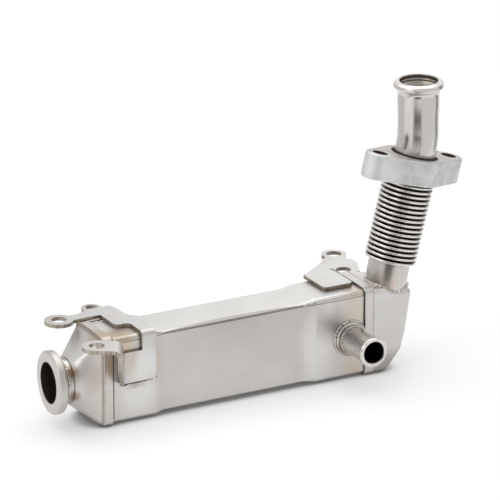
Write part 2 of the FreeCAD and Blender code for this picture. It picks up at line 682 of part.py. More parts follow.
def tank_block(label, inset):
    # the tank's outside, or its inside when the wall is taken off all round
    body = new_body(label)
    side = new_sketch(body, label + "Side", "XZ_Plane")
    outline = inset_outline(tank_outline, inset)
    if inset:
        outline[0].x = -inset
        outline[-1].x = -inset
        outline[-1].y = tank_high - inset * math.hypot(1, size("tank_top_fall") / size("tank_reach"))
    free_polygon(side, outline)
    taken = "%s*Sizes.tank_wall" % (1 if inset else 0)
    block = pad(body, side, "(%s - 2*%s)" % (collar_width, taken), label + "Pad", both=True)
    bends = round_edges(
        body, block, "(Sizes.tank_bend - %s)" % taken,
        lambda e: along(e, Y) and 1 < centre_of(e).x < size("tank_knee") + 1, label + "Bends")
    half_width = value_of(collar_width) / 2 - inset
    round_edges(
        body, bends, "(Sizes.end_corner + Sizes.collar_wall - %s)" % taken,
        lambda e: centre_of(e).x > 0.1 and (near(abs(centre_of(e).y), half_width)
                                            or (along(e, Y) and centre_of(e).x > size("tank_knee") + 1)),
        label + "Sides")
    place(body, x=tank_start)
    return body


tank_outside = tank_block("TankOutside", 0)
tank_inside = tank_block("TankInside", size("tank_wall"))

# Centre line of the neck, worked back from the start of the bellows

lean_end = math.radians(size("outlet_tilt"))
lean_root = math.radians(size("neck_tilt"))


def step_along(point, lean, distance):
    # a point further along a line that leans by the given angle
    return point + FreeCAD.Vector(math.sin(lean), 0, math.cos(lean)) * distance


def across(point, lean, distance):
    return point + FreeCAD.Vector(math.cos(lean), 0, -math.sin(lean)) * distance


neck_top = FreeCAD.Vector(value_of(bellows_x), 0, value_of(bellows_z))
bend_top = step_along(neck_top, lean_end, -size("neck_stub"))
bend_centre = across(bend_top, lean_end, size("neck_bend"))
bend_foot = across(bend_centre, lean_root, -size("neck_bend"))
neck_foot = step_along(bend_foot, lean_root, -size("neck_root"))


def pipe_along(label, spine_parts, start, lean, outer, inner):
    # a round tube swept along straight runs and arcs in the plane of symmetry
    body = new_body(label)
    spine = new_sketch(body, label + "Spine", "XZ_Plane")
    for part in spine_parts:
        spine.addGeometry(part, False)
    for k in range(len(spine_parts) - 1):
        # an arc that bends to the right is kept in the sketch from its far end to its near end
        last, first = min(
            [(a, b) for a in (1, 2) for b in (1, 2)],
            key=lambda pair: (spine.getPoint(k, pair[0]) - spine.getPoint(k + 1, pair[1])).Length)
        spine.addConstraint(Sketcher.Constraint("Coincident", k, last, k + 1, first))
    ends = new_sketch(body, label + "Section", "XY_Plane")
    circle(ends, outer)
    circle(ends, inner)
    ends.AttachmentOffset = FreeCAD.Placement(
        start, FreeCAD.Rotation(FreeCAD.Vector(0, 1, 0), math.degrees(lean)))
    sweep = body.newObject("PartDesign::AdditivePipe", label + "Sweep")
    sweep.Profile = ends
    sweep.Spine = (spine, [])
    doc.recompute()
    section = math.pi / 4 * (value_of(outer) ** 2 - value_of(inner) ** 2)
    expected = section * sum(part.length() for part in spine_parts)
    if abs(body.Shape.Volume / expected - 1) > 0.001:
        raise RuntimeError("%s has not the volume of its section along its length" % label)
    place(body, y="-" + outlet_offset)
    return body


def flat(point):
    # a point of the plane of symmetry as the XZ sketch sees it
    return FreeCAD.Vector(point.x, point.z, 0)


neck_arc_middle = across(bend_centre, (lean_end + lean_root) / 2, -size("neck_bend"))
neck = pipe_along("outlet_neck", [
    Part.LineSegment(flat(neck_foot), flat(bend_foot)),
    Part.Arc(flat(bend_foot), flat(neck_arc_middle), flat(bend_top)),
    Part.LineSegment(flat(bend_top), flat(neck_top)),
], neck_foot, lean_root, "Sizes.pipe_diameter", "(Sizes.pipe_diameter - 2*Sizes.pipe_wall)")
pieces.append(neck)

neck_hole = doc.addObject("Part::Cylinder", "NeckHole")
neck_hole.setExpression("Radius", "Sizes.pipe_diameter/2 + Sizes.neck_gap")
neck_hole.setExpression("Height", "2*Sizes.neck_root")
neck_hole.Placement = FreeCAD.Placement(
    neck_foot, FreeCAD.Rotation(FreeCAD.Vector(0, 1, 0), math.degrees(lean_root)))
place(neck_hole, y="-" + outlet_offset)
tank_spaces = doc.addObject("Part::MultiFuse", "TankSpaces")
tank_spaces.Shapes = [tank_inside, neck_hole]
tank = doc.addObject("Part::Cut", "outlet_tank")
tank.Label = "outlet_tank"
tank.Base = tank_outside
tank.Tool = tank_spaces
pieces.append(tank)


# Bellows, one convolution repeated along the leaning axis

bellows = new_body("bellows")
wave = new_sketch(bellows, "Wave", "XZ_Plane")
crest_radius = "(Sizes.bellows_diameter/2)"
root_radius = "(Sizes.bellows_diameter/2 - Sizes.bellows_depth)"
pitch = "Sizes.bellows_pitch"
sheet_t = "Sizes.bellows_wall"
polygon(wave, [
    ("%s - %s" % (root_radius, sheet_t), "0"),
    (root_radius, "0"),
    (root_radius, "0.10*%s" % pitch),
    ("%s + 0.10*%s" % (root_radius, pitch), "0.16*%s" % pitch),
    ("%s - 0.22*%s" % (crest_radius, pitch), "0.16*%s" % pitch),
    ("%s - 0.08*%s" % (crest_radius, pitch), "0.22*%s" % pitch),
    (crest_radius, "0.38*%s" % pitch),
    (crest_radius, "0.62*%s" % pitch),
    ("%s - 0.08*%s" % (crest_radius, pitch), "0.78*%s" % pitch),
    ("%s - 0.22*%s" % (crest_radius, pitch), "0.84*%s" % pitch),
    ("%s + 0.10*%s" % (root_radius, pitch), "0.84*%s" % pitch),
    (root_radius, "0.90*%s" % pitch),
    (root_radius, pitch),
    ("%s - %s" % (root_radius, sheet_t), pitch),
    ("%s - %s" % (root_radius, sheet_t), "0.84*%s - %s" % (pitch, sheet_t)),
    ("%s - 0.22*%s - 0.4*%s" % (crest_radius, pitch, sheet_t), "0.84*%s - %s" % (pitch, sheet_t)),
    ("%s - %s" % (crest_radius, sheet_t), "0.58*%s" % pitch),
    ("%s - %s" % (crest_radius, sheet_t), "0.42*%s" % pitch),
    ("%s - 0.22*%s - 0.4*%s" % (crest_radius, pitch, sheet_t), "0.16*%s + %s" % (pitch, sheet_t)),
    ("%s - %s" % (root_radius, sheet_t), "0.16*%s + %s" % (pitch, sheet_t)),
])
fold = revolve(bellows, wave, "Convolution")
doc.recompute()
folds = bellows.newObject("PartDesign::LinearPattern", "Convolutions")
folds.Originals = [fold]
folds.Direction = (wave, ["V_Axis"])
folds.setExpression("Length", "(Sizes.bellows_count - 1)*Sizes.bellows_pitch")
folds.setExpression("Occurrences", "Sizes.bellows_count")
bellows.Tip = folds
turn(bellows, Y, "Sizes.outlet_tilt")
place(bellows, x=bellows_x, y="-" + outlet_offset, z=bellows_z)
pieces.append(bellows)


# Oval flange, loose round the pipe, with a recess round the pipe in its top face

flange = new_body("oval_flange")
plan = new_sketch(flange, "FlangePlan")
turn(plan, Z, "Sizes.flange_turn", "AttachmentOffset")
half = value_of("Sizes.bolt_spacing/2")
r_mid = size("flange_mid_radius")
r_end = size("flange_end_radius")
swing = math.acos((r_mid - r_end) / half)
flange_arcs = [
    (half, 0, r_end, -swing, swing),
    (0, 0, r_mid, swing, math.pi - swing),
    (-half, 0, r_end, math.pi - swing, math.pi + swing),
    (0, 0, r_mid, math.pi + swing, 2 * math.pi - swing),
]
arc_ids = []
for x, y, r, start, end in flange_arcs:
    arc_ids.append(plan.addGeometry(Part.ArcOfCircle(
        Part.Circle(FreeCAD.Vector(x, y, 0), FreeCAD.Vector(0, 0, 1), r), start, end), False))
line_ids = []
for k in range(4):
    line_ids.append(plan.addGeometry(Part.LineSegment(
        plan.getPoint(arc_ids[k], 2), plan.getPoint(arc_ids[(k + 1) % 4], 1)), False))
for k in range(4):
    plan.addConstraint(Sketcher.Constraint("Tangent", arc_ids[k], 2, line_ids[k], 1))
    plan.addConstraint(Sketcher.Constraint("Tangent", line_ids[k], 2, arc_ids[(k + 1) % 4], 1))
for k, place_x, radius in ((0, "Sizes.bolt_spacing/2", "Sizes.flange_end_radius"),
                           (1, "0", "Sizes.flange_mid_radius"),
                           (2, "-Sizes.bolt_spacing/2", "Sizes.flange_end_radius"),
                           (3, "0", "Sizes.flange_mid_radius")):
    if place_x == "0":
        plan.addConstraint(Sketcher.Constraint("Coincident", arc_ids[k], 3, -1, 1))
    else:
        pin_point(plan, arc_ids[k], 3, place_x, "0")
    number = plan.addConstraint(Sketcher.Constraint("Radius", arc_ids[k], value_of(radius)))
    plan.setExpression("Constraints[%d]" % number, radius)
flange_pad = pad(flange, plan, "Sizes.flange_thickness", "FlangePad")
flange_round = round_edges(
    flange, flange_pad, "Sizes.flange_edge",
    lambda e: near(e.BoundBox.ZLength, 0), "FlangeEdges")
holes = new_sketch(flange, "FlangeHoles")
turn(holes, Z, "Sizes.flange_turn", "AttachmentOffset")
circle(holes, "Sizes.bolt_hole", "Sizes.bolt_spacing/2", "0")
circle(holes, "Sizes.bolt_hole", "-Sizes.bolt_spacing/2", "0")
circle(holes, "(Sizes.pipe_diameter + 2*Sizes.flange_gap)")
pocket(flange, holes, "FlangeBores", both=True)
recess = new_sketch(flange, "FlangeRecess")
circle(recess, "Sizes.recess_diameter")
shift(recess, z="Sizes.flange_thickness")
flange_recess = pocket(flange, recess, "RecessPocket", "Sizes.recess_depth")
flange.Tip = flange_recess
turn(flange, Y, "Sizes.outlet_tilt")
place(flange, x=flange_x, y="-" + outlet_offset, z=flange_z)
pieces.append(flange)


# Outlet pipe: straight through the flange, bent upright, beaded at its end

pipe_foot = FreeCAD.Vector(value_of(bellows_end_x), 0, value_of(bellows_end_z))
pipe_bend_foot = step_along(pipe_foot, lean_end, size("pipe_lead"))
pipe_bend_centre = across(pipe_bend_foot, lean_end, -size("pipe_bend"))
pipe_bend_top = across(pipe_bend_centre, 0, size("pipe_bend"))
pipe_bend_middle = across(pipe_bend_centre, lean_end / 2, size("pipe_bend"))
pipe_top = step_along(pipe_bend_top, 0, size("pipe_rise"))
pipe = pipe_along("outlet_pipe", [
    Part.LineSegment(flat(pipe_foot), flat(pipe_bend_foot)),
    Part.Arc(flat(pipe_bend_foot), flat(pipe_bend_middle), flat(pipe_bend_top)),
    Part.LineSegment(flat(pipe_bend_top), flat(pipe_top)),
], pipe_foot, lean_end, "Sizes.pipe_diameter", "(Sizes.pipe_diameter - 2*Sizes.pipe_wall)")
bead = new_sketch(pipe, "PipeBead", "XZ_Plane")
bead.AttachmentOffset = FreeCAD.Placement(flat(pipe_top), FreeCAD.Rotation())
bead_top = "(-Sizes.bead_setback)"
bead_slope = "(Sizes.bead_width - Sizes.bead_land)/2"
polygon(bead, [
    ("Sizes.pipe_diameter/2 - Sizes.pipe_wall/2", bead_top),
    ("Sizes.pipe_diameter/2", bead_top),
    ("Sizes.bead_diameter/2", "%s - %s" % (bead_top, bead_slope)),
    ("Sizes.bead_diameter/2", "%s - %s - Sizes.bead_land" % (bead_top, bead_slope)),
    ("Sizes.pipe_diameter/2", "%s - Sizes.bead_width" % bead_top),
    ("Sizes.pipe_diameter/2 - Sizes.pipe_wall/2", "%s - Sizes.bead_width" % bead_top),
])
revolve(pipe, bead, "PipeBeadTurned")
pieces.append(pipe)


# Coolant nipples and the bosses that they stand in

def coolant_nipple(label, x, face, towards):
    # a turned nipple with a rounded bead at its end, from the shell's inside outwards
    body = new_body(label)
    outline = new_sketch(body, label + "Outline", "XZ_Plane")
    mouth = "(Sizes.nipple_reach + Sizes.shell_wall)"
    slope = "(Sizes.nipple_bead_width - Sizes.nipple_bead_land)/2"
    polygon(outline, [
        ("Sizes.nipple_bore/2", "0"),
        ("Sizes.nipple_diameter/2", "0"),
        ("Sizes.nipple_diameter/2", "%s - Sizes.nipple_bead_width" % mouth),
        ("Sizes.nipple_bead/2", "%s - Sizes.nipple_bead_width + %s" % (mouth, slope)),
        ("Sizes.nipple_bead/2", "%s - %s" % (mouth, slope)),
        ("Sizes.nipple_bead/2 - Sizes.nipple_lip", mouth),
        ("Sizes.nipple_bore/2 + Sizes.nipple_lip", mouth),
        ("Sizes.nipple_bore/2", "%s - Sizes.nipple_lip" % mouth),
    ])
    revolve(body, outline, label + "Turned")
    turn(body, X, "%d" % (90 if towards < 0 else -90))
    place(body, x="Sizes.inlet_reach + " + x,
          y="%d*(Sizes.%s_width/2 - Sizes.shell_wall)" % (towards, face), z="-Sizes.nipple_drop")
    return body


def nipple_boss(label, x, face, towards):
    body = new_body(label)
    outline = new_sketch(body, label + "Outline", "XZ_Plane")
    bore = "(Sizes.nipple_diameter/2 + Sizes.braze_gap)"
    polygon(outline, [
        (bore, "0"),
        ("Sizes.boss_diameter/2", "0"),
        ("Sizes.boss_diameter/2", "Sizes.boss_height - Sizes.nipple_lip"),
        ("Sizes.boss_diameter/2 - Sizes.nipple_lip", "Sizes.boss_height"),
        ("Sizes.boss_step_diameter/2", "Sizes.boss_height"),
        ("Sizes.boss_step_diameter/2", "Sizes.boss_height + Sizes.boss_step_height"),
        (bore, "Sizes.boss_height + Sizes.boss_step_height"),
    ])
    revolve(body, outline, label + "Turned")
    if face == "end":
        # a flat that clears the outlet collar
        flat_side = new_sketch(body, label + "Flat")
        reach = "(Sizes.front_nipple_inset - Sizes.boss_gap)"
        polygon(flat_side, [
            (reach, "-Sizes.boss_diameter"),
            (reach + " + Sizes.boss_diameter", "-Sizes.boss_diameter"),
            (reach + " + Sizes.boss_diameter", "Sizes.boss_diameter"),
            (reach, "Sizes.boss_diameter"),
        ])
        pocket(body, flat_side, label + "FlatPocket", both=True)
    turn(body, X, "%d" % (90 if towards < 0 else -90))
    place(body, x="Sizes.inlet_reach + " + x, y="%d*Sizes.%s_width/2" % (towards, face),
          z="-Sizes.nipple_drop")
    return body


pieces.append(coolant_nipple("front_nipple", front_nipple_x, "end", -1))
pieces.append(nipple_boss("front_boss", front_nipple_x, "end", -1))
pieces.append(coolant_nipple("rear_nipple", "Sizes.rear_nipple_x", "mid", 1))
pieces.append(nipple_boss("rear_boss", "Sizes.rear_nipple_x", "mid", 1))


# Inlet bracket, one folded sheet: a top with a back ear and a rear lug, a front plate on the
# core's side, and a leg bent out of that plate that folds over into the front ear

bracket = new_body("inlet_bracket")
ear_x = "(Sizes.inlet_reach - Sizes.ear_reach)"
neck_end_x = "(Sizes.inlet_reach - Sizes.ear_reach + Sizes.ear_taper)"
lug_x = "(Sizes.inlet_reach + Sizes.lug_x)"
saddle_start = "(Sizes.inlet_reach + Sizes.saddle_start)"
saddle_end = "(Sizes.inlet_reach + Sizes.saddle_end)"
saddle_waist = "(Sizes.inlet_reach + Sizes.saddle_waist)"
window_x = "(Sizes.inlet_reach + Sizes.window_x)"
sheet_top = "(%s + Sizes.bracket_sheet)" % top_of_end
inner_face = "Sizes.end_width/2"
outer_face = "(Sizes.end_width/2 + Sizes.bracket_sheet)"
plate_base = "(%s - Sizes.saddle_drop)" % top_of_end
leg_angle = math.radians(size("leg_lean"))
to_leg = FreeCAD.Vector(math.cos(leg_angle), -math.sin(leg_angle), 0)
to_shell = FreeCAD.Vector(math.sin(leg_angle), math.cos(leg_angle), 0)
front_ear = FreeCAD.Vector(value_of(ear_x), -size("front_ear_y"), 0)


def from_ear(reach, rise):
    return front_ear + to_leg * reach + to_shell * rise


def meet(point, line_y):
    # where the leg's face through a point reaches a line of constant Y
    return point + to_shell * ((line_y - point.y) / to_shell.y)


half_ear = size("ear_radius")
leg_out = size("leg_face")
leg_in = leg_out - size("bracket_sheet")
y_outer = -value_of(outer_face)
y_inner = -value_of(inner_face)
leg_root = meet(from_ear(leg_out, 0), y_outer)
leg_back = meet(from_ear(leg_in, 0), y_inner)
far_edge = value_of(saddle_end)
margin = size("cut_margin")
folded = new_sketch(bracket, "PlateAndLeg")
free_polygon(folded, [
    FreeCAD.Vector(far_edge, y_outer, 0),
    FreeCAD.Vector(far_edge, y_inner, 0),
    leg_back,
    from_ear(leg_in, -half_ear),
    from_ear(leg_out, -half_ear),
    leg_root,
])
shift(folded, z=plate_base)
pad(bracket, folded, "Sizes.saddle_drop + Sizes.bracket_sheet", "PlateAndLegPad")

# the leg's free edge slopes up from its root, and the window opens the front corner
slope_cut = new_sketch(bracket, "LegSlope", "YZ_Plane")
turn(slope_cut, Y, "-Sizes.leg_lean", "AttachmentOffset")
slope_base = value_of(plate_base)
slope_top = value_of("%s - Sizes.leg_step" % sheet_top)
root_rise = (leg_root - front_ear).dot(to_shell)
leg_origin = front_ear.dot(to_shell)
free_polygon(slope_cut, [
    FreeCAD.Vector(leg_origin - half_ear - margin, slope_base - margin, 0),
    FreeCAD.Vector(leg_origin + root_rise - size("leg_foot"), slope_base - margin, 0),
    FreeCAD.Vector(leg_origin + root_rise - size("leg_foot"), slope_base, 0),
    FreeCAD.Vector(leg_origin - half_ear, slope_top, 0),
    FreeCAD.Vector(leg_origin - half_ear - margin, slope_top, 0),
])
pocket(bracket, slope_cut, "LegSlopePocket", both=True)
window = new_sketch(bracket, "Window")
window_far = value_of(window_x)
free_polygon(window, [
    FreeCAD.Vector(window_far, y_outer - margin, 0),
    FreeCAD.Vector(window_far, y_inner + margin, 0),
    leg_back + FreeCAD.Vector(-size("window_lead"), y_inner + margin - leg_back.y, 0),
    from_ear(leg_in - margin, half_ear + size("ear_relief")),
    from_ear(leg_out + margin, half_ear + size("ear_relief")),
    leg_root + FreeCAD.Vector(0, -margin, 0),
])
shift(window, z="%s - Sizes.window_drop" % top_of_end)
pocket(bracket, window, "WindowPocket", backwards=True)

# the top, its ears and its lug
top_z = top_of_end
top = new_sketch(bracket, "BracketTop")
ear_low = "(Sizes.back_ear_y - Sizes.ear_set - Sizes.ear_neck/2)"
ear_high = "(Sizes.back_ear_y - Sizes.ear_set + Sizes.ear_neck/2)"
polygon(top, [
    (window_x, "-" + outer_face),
    (saddle_end, "-" + outer_face),
    (saddle_end, "Sizes.saddle_flare"),
    (saddle_waist, "Sizes.saddle_flare + Sizes.flare_run"),
    (saddle_waist, "Sizes.saddle_back - Sizes.saddle_corner"),
    (lug_x + " + Sizes.lug_radius", "Sizes.saddle_back - Sizes.lug_shoulder"),
    (lug_x + " + Sizes.lug_radius", "Sizes.saddle_back"),
    (lug_x + " - Sizes.lug_radius", "Sizes.saddle_back"),
    (neck_end_x, ear_high),
    (ear_x, ear_high),
    (ear_x, ear_low),
    (saddle_start, ear_low),
    (saddle_start, "-Sizes.window_y"),
    (window_x, "-Sizes.window_y"),
])
shift(top, z=top_z)
pad(bracket, top, "Sizes.bracket_sheet", "BracketTopPad")
back_ear = new_sketch(bracket, "BackEar")
circle(back_ear, "(2*Sizes.ear_radius)", ear_x, "Sizes.back_ear_y")
shift(back_ear, z=top_z)
pad(bracket, back_ear, "Sizes.bracket_sheet", "BackEarPad")
lug_level = "(%s - Sizes.lug_drop)" % top_z
lug_slope = new_sketch(bracket, "LugSlope", "YZ_Plane")
polygon(lug_slope, [
    ("Sizes.saddle_back - Sizes.cut_margin", top_z),
    ("Sizes.saddle_back", top_z),
    ("Sizes.saddle_back + Sizes.lug_step", lug_level),
    ("Sizes.lug_y", lug_level),
    ("Sizes.lug_y", "%s + Sizes.bracket_sheet" % lug_level),
    ("Sizes.saddle_back + Sizes.lug_step", "%s + Sizes.bracket_sheet" % lug_level),
    ("Sizes.saddle_back", "%s + Sizes.bracket_sheet" % top_z),
    ("Sizes.saddle_back - Sizes.cut_margin", "%s + Sizes.bracket_sheet" % top_z),
])
shift(lug_slope, z=lug_x + " - Sizes.lug_radius")
pad(bracket, lug_slope, "2*Sizes.lug_radius", "LugSlopePad")
rear_lug = new_sketch(bracket, "RearLug")
circle(rear_lug, "(2*Sizes.lug_radius)", lug_x, "Sizes.lug_y")
shift(rear_lug, z=lug_level)
pad(bracket, rear_lug, "Sizes.bracket_sheet", "RearLugPad")
ear_plan = new_sketch(bracket, "FrontEar")
ear_start = from_ear(0, half_ear)
ear_end = from_ear(0, -half_ear)
corners = [ear_end, from_ear(leg_out, -half_ear), from_ear(leg_out, half_ear), ear_start]
for k in range(3):
    ear_plan.addGeometry(Part.LineSegment(corners[k], corners[k + 1]), False)
ear_plan.addGeometry(Part.Arc(ear_start, from_ear(-half_ear, 0), ear_end), False)
for k in range(4):
    ear_plan.addConstraint(Sketcher.Constraint("Coincident", k, 2, (k + 1) % 4, 1))
shift(ear_plan, z=top_z)
ear_pad = pad(bracket, ear_plan, "Sizes.bracket_sheet", "FrontEarPad")

# bends
ear_line = to_shell
level = value_of(sheet_top)
under = value_of(top_z)


def on_leg(edge, reach, z):
    middle = centre_of(edge)
    return near((middle - front_ear).dot(to_leg), reach, 0.05) and near(middle.z, z, 0.05)


ear_bend = round_edges(bracket, ear_pad, "Sizes.leg_bend",
                       lambda e: along(e, ear_line) and on_leg(e, leg_out, level), "EarBendOutside")
ear_crook = round_edges(bracket, ear_bend, "Sizes.leg_bend - Sizes.bracket_sheet",
                        lambda e: along(e, ear_line) and on_leg(e, leg_in, under), "EarBendInside")
top_bend = round_edges(
    bracket, ear_crook, "Sizes.bracket_bend",
    lambda e: along(e, X) and near(centre_of(e).y, y_outer) and near(centre_of(e).z, level),
    "TopBendOutside")
top_crook = round_edges(
    bracket, top_bend, "Sizes.bracket_bend - Sizes.bracket_sheet",
    lambda e: along(e, X) and near(centre_of(e).y, y_inner) and near(centre_of(e).z, under),
    "TopBendInside")
corner = round_edges(
    bracket, top_crook, "Sizes.saddle_corner/2",
    lambda e: along(e, Z) and near(centre_of(e).x, value_of(saddle_waist)) and near(
        centre_of(e).y, size("saddle_back") - size("saddle_corner")), "BackCorner")
notch_corner = round_edges(
    bracket, corner, "1.4*Sizes.bracket_sheet",
    lambda e: along(e, Z) and (near(centre_of(e).y, -size("window_y"))
                               or near(centre_of(e).x, value_of(neck_end_x))
                               or near(centre_of(e).y, size("saddle_flare"))
                               or near(centre_of(e).y, size("saddle_flare") + size("flare_run"))),
    "NotchCorners")
root_bend = round_edges(
    bracket, notch_corner, "Sizes.bracket_bend",
    lambda e: along(e, Z) and (centre_of(e) - leg_root).dot(to_leg) ** 2 + (
        centre_of(e) - leg_root).dot(to_shell) ** 2 < 0.01, "LegRootBend")
for name, hole, x, y in (("BackEarHole", "ear_hole", ear_x, "Sizes.back_ear_y"),
                         ("FrontEarHole", "ear_hole", ear_x, "-Sizes.front_ear_y"),
                         ("RearLugHole", "lug_hole", lug_x, "Sizes.lug_y")):
    round_hole = new_sketch(bracket, name)
    circle(round_hole, "Sizes.%s" % hole, x, y)
    pocket(bracket, round_hole, name + "Pocket", both=True)
pieces.append(bracket)


# Outlet bracket, one joggled sheet: a pad on the core and lower ears behind it

stand = new_body("outlet_bracket")
steps = new_sketch(stand, "Joggle", "YZ_Plane")
pad_under = top_of_end
ear_under = "(%s - Sizes.joggle_drop)" % top_of_end
joggle_end = "(Sizes.joggle_start + Sizes.joggle_run)"
pad_start = "(%s - Sizes.pad_gap - Sizes.pad_width)" % collar_start
wing_side = "(%s + Sizes.wing_side)" % collar_start
near_hole_x = "(%s + Sizes.near_hole_x)" % collar_start
far_hole_x = "(%s + Sizes.far_hole_x)" % collar_start
polygon(steps, [
    ("-Sizes.pad_front", pad_under),
    ("Sizes.joggle_start", pad_under),
    (joggle_end, ear_under),
    ("Sizes.wing_back", ear_under),
    ("Sizes.wing_back", "%s + Sizes.bracket_sheet" % ear_under),
    (joggle_end, "%s + Sizes.bracket_sheet" % ear_under),
    ("Sizes.joggle_start", "%s + Sizes.bracket_sheet" % pad_under),
    ("-Sizes.pad_front", "%s + Sizes.bracket_sheet" % pad_under),
])
shift(steps, z=pad_start)
strip = pad(stand, steps, "Sizes.pad_width", "JogglePad")
wing = new_sketch(stand, "Wing")
slot_near = "(%s + Sizes.slot_x - Sizes.slot_width/2)" % collar_start
slot_far = "(%s + Sizes.slot_x + Sizes.slot_width/2)" % collar_start
strip_near = "(%s + Sizes.pad_taper)" % pad_start
polygon(wing, [
    (strip_near, joggle_end),
    (slot_near, joggle_end),
    (slot_near, "Sizes.wing_back"),
    (slot_far, "Sizes.wing_back"),
    (slot_far, "Sizes.wing_front"),
    (near_hole_x + " + Sizes.wing_lead", "Sizes.wing_front"),
    (wing_side, "Sizes.near_hole_y + Sizes.wing_rise"),
    (wing_side, "Sizes.near_hole_y + Sizes.wing_top"),
    (wing_side + " - Sizes.wing_slant", "Sizes.near_hole_y + Sizes.wing_slant_end"),
    (far_hole_x + " + Sizes.wing_radius*0.8", "Sizes.far_hole_y - Sizes.wing_radius*0.6"),
    (far_hole_x, "Sizes.far_hole_y"),
    (far_hole_x + " - Sizes.wing_radius*0.95", "Sizes.far_hole_y - Sizes.wing_radius*0.3"),
    (near_hole_x + " - Sizes.waist_x", "Sizes.near_hole_y + Sizes.waist_y"),
    (near_hole_x + " - Sizes.hip_x", "Sizes.near_hole_y + Sizes.hip_y"),
    (strip_near, "Sizes.wing_back - Sizes.strip_corner"),
])
shift(wing, z=ear_under)
wing_pad = pad(stand, wing, "Sizes.bracket_sheet", "WingPad")
wing_disc = new_sketch(stand, "WingEnd")
circle(wing_disc, "(2*Sizes.wing_radius)", far_hole_x, "Sizes.far_hole_y")
shift(wing_disc, z=ear_under)
wing_end = pad(stand, wing_disc, "Sizes.bracket_sheet", "WingEndPad")
taper = new_sketch(stand, "StripTaper")
polygon(taper, [
    (pad_start, "Sizes.joggle_start"),
    (strip_near, "%s - Sizes.cut_margin/2" % joggle_end),
    (strip_near, "Sizes.wing_back + Sizes.cut_margin"),
    (pad_start + " - Sizes.cut_margin", "Sizes.wing_back + Sizes.cut_margin"),
    (pad_start + " - Sizes.cut_margin", "Sizes.joggle_start"),
])
strip_cut = pocket(stand, taper, "StripTaperPocket", both=True)
wing_round = round_edges(
    stand, strip_cut, "Sizes.pad_corner",
    lambda e: along(e, Z) and near(centre_of(e).x, value_of(wing_side)), "WingCorners")
pad_round = round_edges(
    stand, wing_round, "Sizes.pad_corner",
    lambda e: along(e, Z) and near(centre_of(e).y, -size("pad_front")), "PadCorners")
joggle_round = round_edges(
    stand, pad_round, "Sizes.bracket_bend",
    lambda e: along(e, X) and e.Length > 2 * size("bracket_sheet") and (
        near(centre_of(e).y, size("joggle_start")) and centre_of(e).z > value_of(sheet_top) - 0.1
        or near(centre_of(e).y, value_of(joggle_end)) and centre_of(e).z > value_of(ear_under) + 1),
    "JoggleBends")
for name, x, y in (("NearHole", near_hole_x, "Sizes.near_hole_y"),
                   ("FarHole", far_hole_x, "Sizes.far_hole_y")):
    round_hole = new_sketch(stand, name)
    circle(round_hole, "Sizes.bolt_hole", x, y)
    pocket(stand, round_hole, name + "Pocket", both=True)
pieces.append(stand)


# Check the document, then write each piece

doc.recompute()
for thing in doc.Objects:
    if "Invalid" in thing.State or "Error" in thing.State:
        raise RuntimeError("%s failed: %s" % (thing.Name, thing.State))
for piece in pieces:
    shape = piece.Shape
    if shape.isNull() or not shape.isValid() or len(shape.Solids) != 1:
        raise RuntimeError("%s is not one sound solid" % piece.Label)
for piece in pieces:
    piece.Shape.exportStep("parts/%s.step" % piece.Label)
    print("%-18s %9.1f mm3" % (piece.Label, piece.Shape.Volume))
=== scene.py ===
import math

import bmesh
import bpy
from mathutils import Matrix, Vector, noise


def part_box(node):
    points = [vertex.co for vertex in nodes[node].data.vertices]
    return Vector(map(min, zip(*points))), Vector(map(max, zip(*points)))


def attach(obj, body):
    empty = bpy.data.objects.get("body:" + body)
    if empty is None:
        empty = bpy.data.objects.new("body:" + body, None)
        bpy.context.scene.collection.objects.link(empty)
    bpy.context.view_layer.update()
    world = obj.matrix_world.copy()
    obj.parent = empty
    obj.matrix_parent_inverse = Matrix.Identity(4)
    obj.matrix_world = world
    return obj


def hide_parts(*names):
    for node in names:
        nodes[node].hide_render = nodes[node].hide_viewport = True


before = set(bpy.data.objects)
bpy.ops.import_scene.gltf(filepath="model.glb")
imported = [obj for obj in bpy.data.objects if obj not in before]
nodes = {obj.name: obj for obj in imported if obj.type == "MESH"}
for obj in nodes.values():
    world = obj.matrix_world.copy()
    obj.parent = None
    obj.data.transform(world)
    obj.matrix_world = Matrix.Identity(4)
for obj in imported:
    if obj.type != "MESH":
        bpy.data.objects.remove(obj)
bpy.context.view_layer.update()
print("frame loaded:", len(nodes), "pieces")


# Node helpers

def putNode(tree, kind, inputs=None, **settings):
    node = tree.nodes.new("ShaderNode" + kind)
    for key, value in settings.items():
        setattr(node, key, value)
    for key, value in (inputs or {}).items():
        if isinstance(value, bpy.types.NodeSocket):
            tree.links.new(value, node.inputs[key])
        else:
            node.inputs[key].default_value = value
    return node


def calc(tree, operation, first, second=0.0):
    return putNode(tree, "Math", {0: first, 1: second}, operation=operation).outputs[0]


def mixColour(tree, amount, first, second, blend="MIX"):
    node = putNode(tree, "Mix", {0: amount, 6: first, 7: second}, data_type="RGBA",
                   blend_type=blend)
    return node.outputs[2]


def rangeOf(tree, value, fromLow, fromHigh, toLow, toHigh):
    node = putNode(tree, "MapRange", {0: value, 1: fromLow, 2: fromHigh, 3: toLow, 4: toHigh},
                   interpolation_type="SMOOTHSTEP")
    return node.outputs[0]


def axisOf(tree, vector, axis):
    return putNode(tree, "SeparateXYZ", {0: vector}).outputs[axis]


def grainAt(tree, coords, scale, stretch=(1, 1, 1), detail=3.0, rough=0.5):
    # noise in metres, stretched along one axis for brushing
    spread = putNode(tree, "Mapping", {"Vector": coords, "Scale": stretch})
    cloud = putNode(tree, "TexNoise", {"Vector": spread.outputs[0], "Scale": scale,
                                       "Detail": detail, "Roughness": rough})
    return cloud.outputs["Fac"]


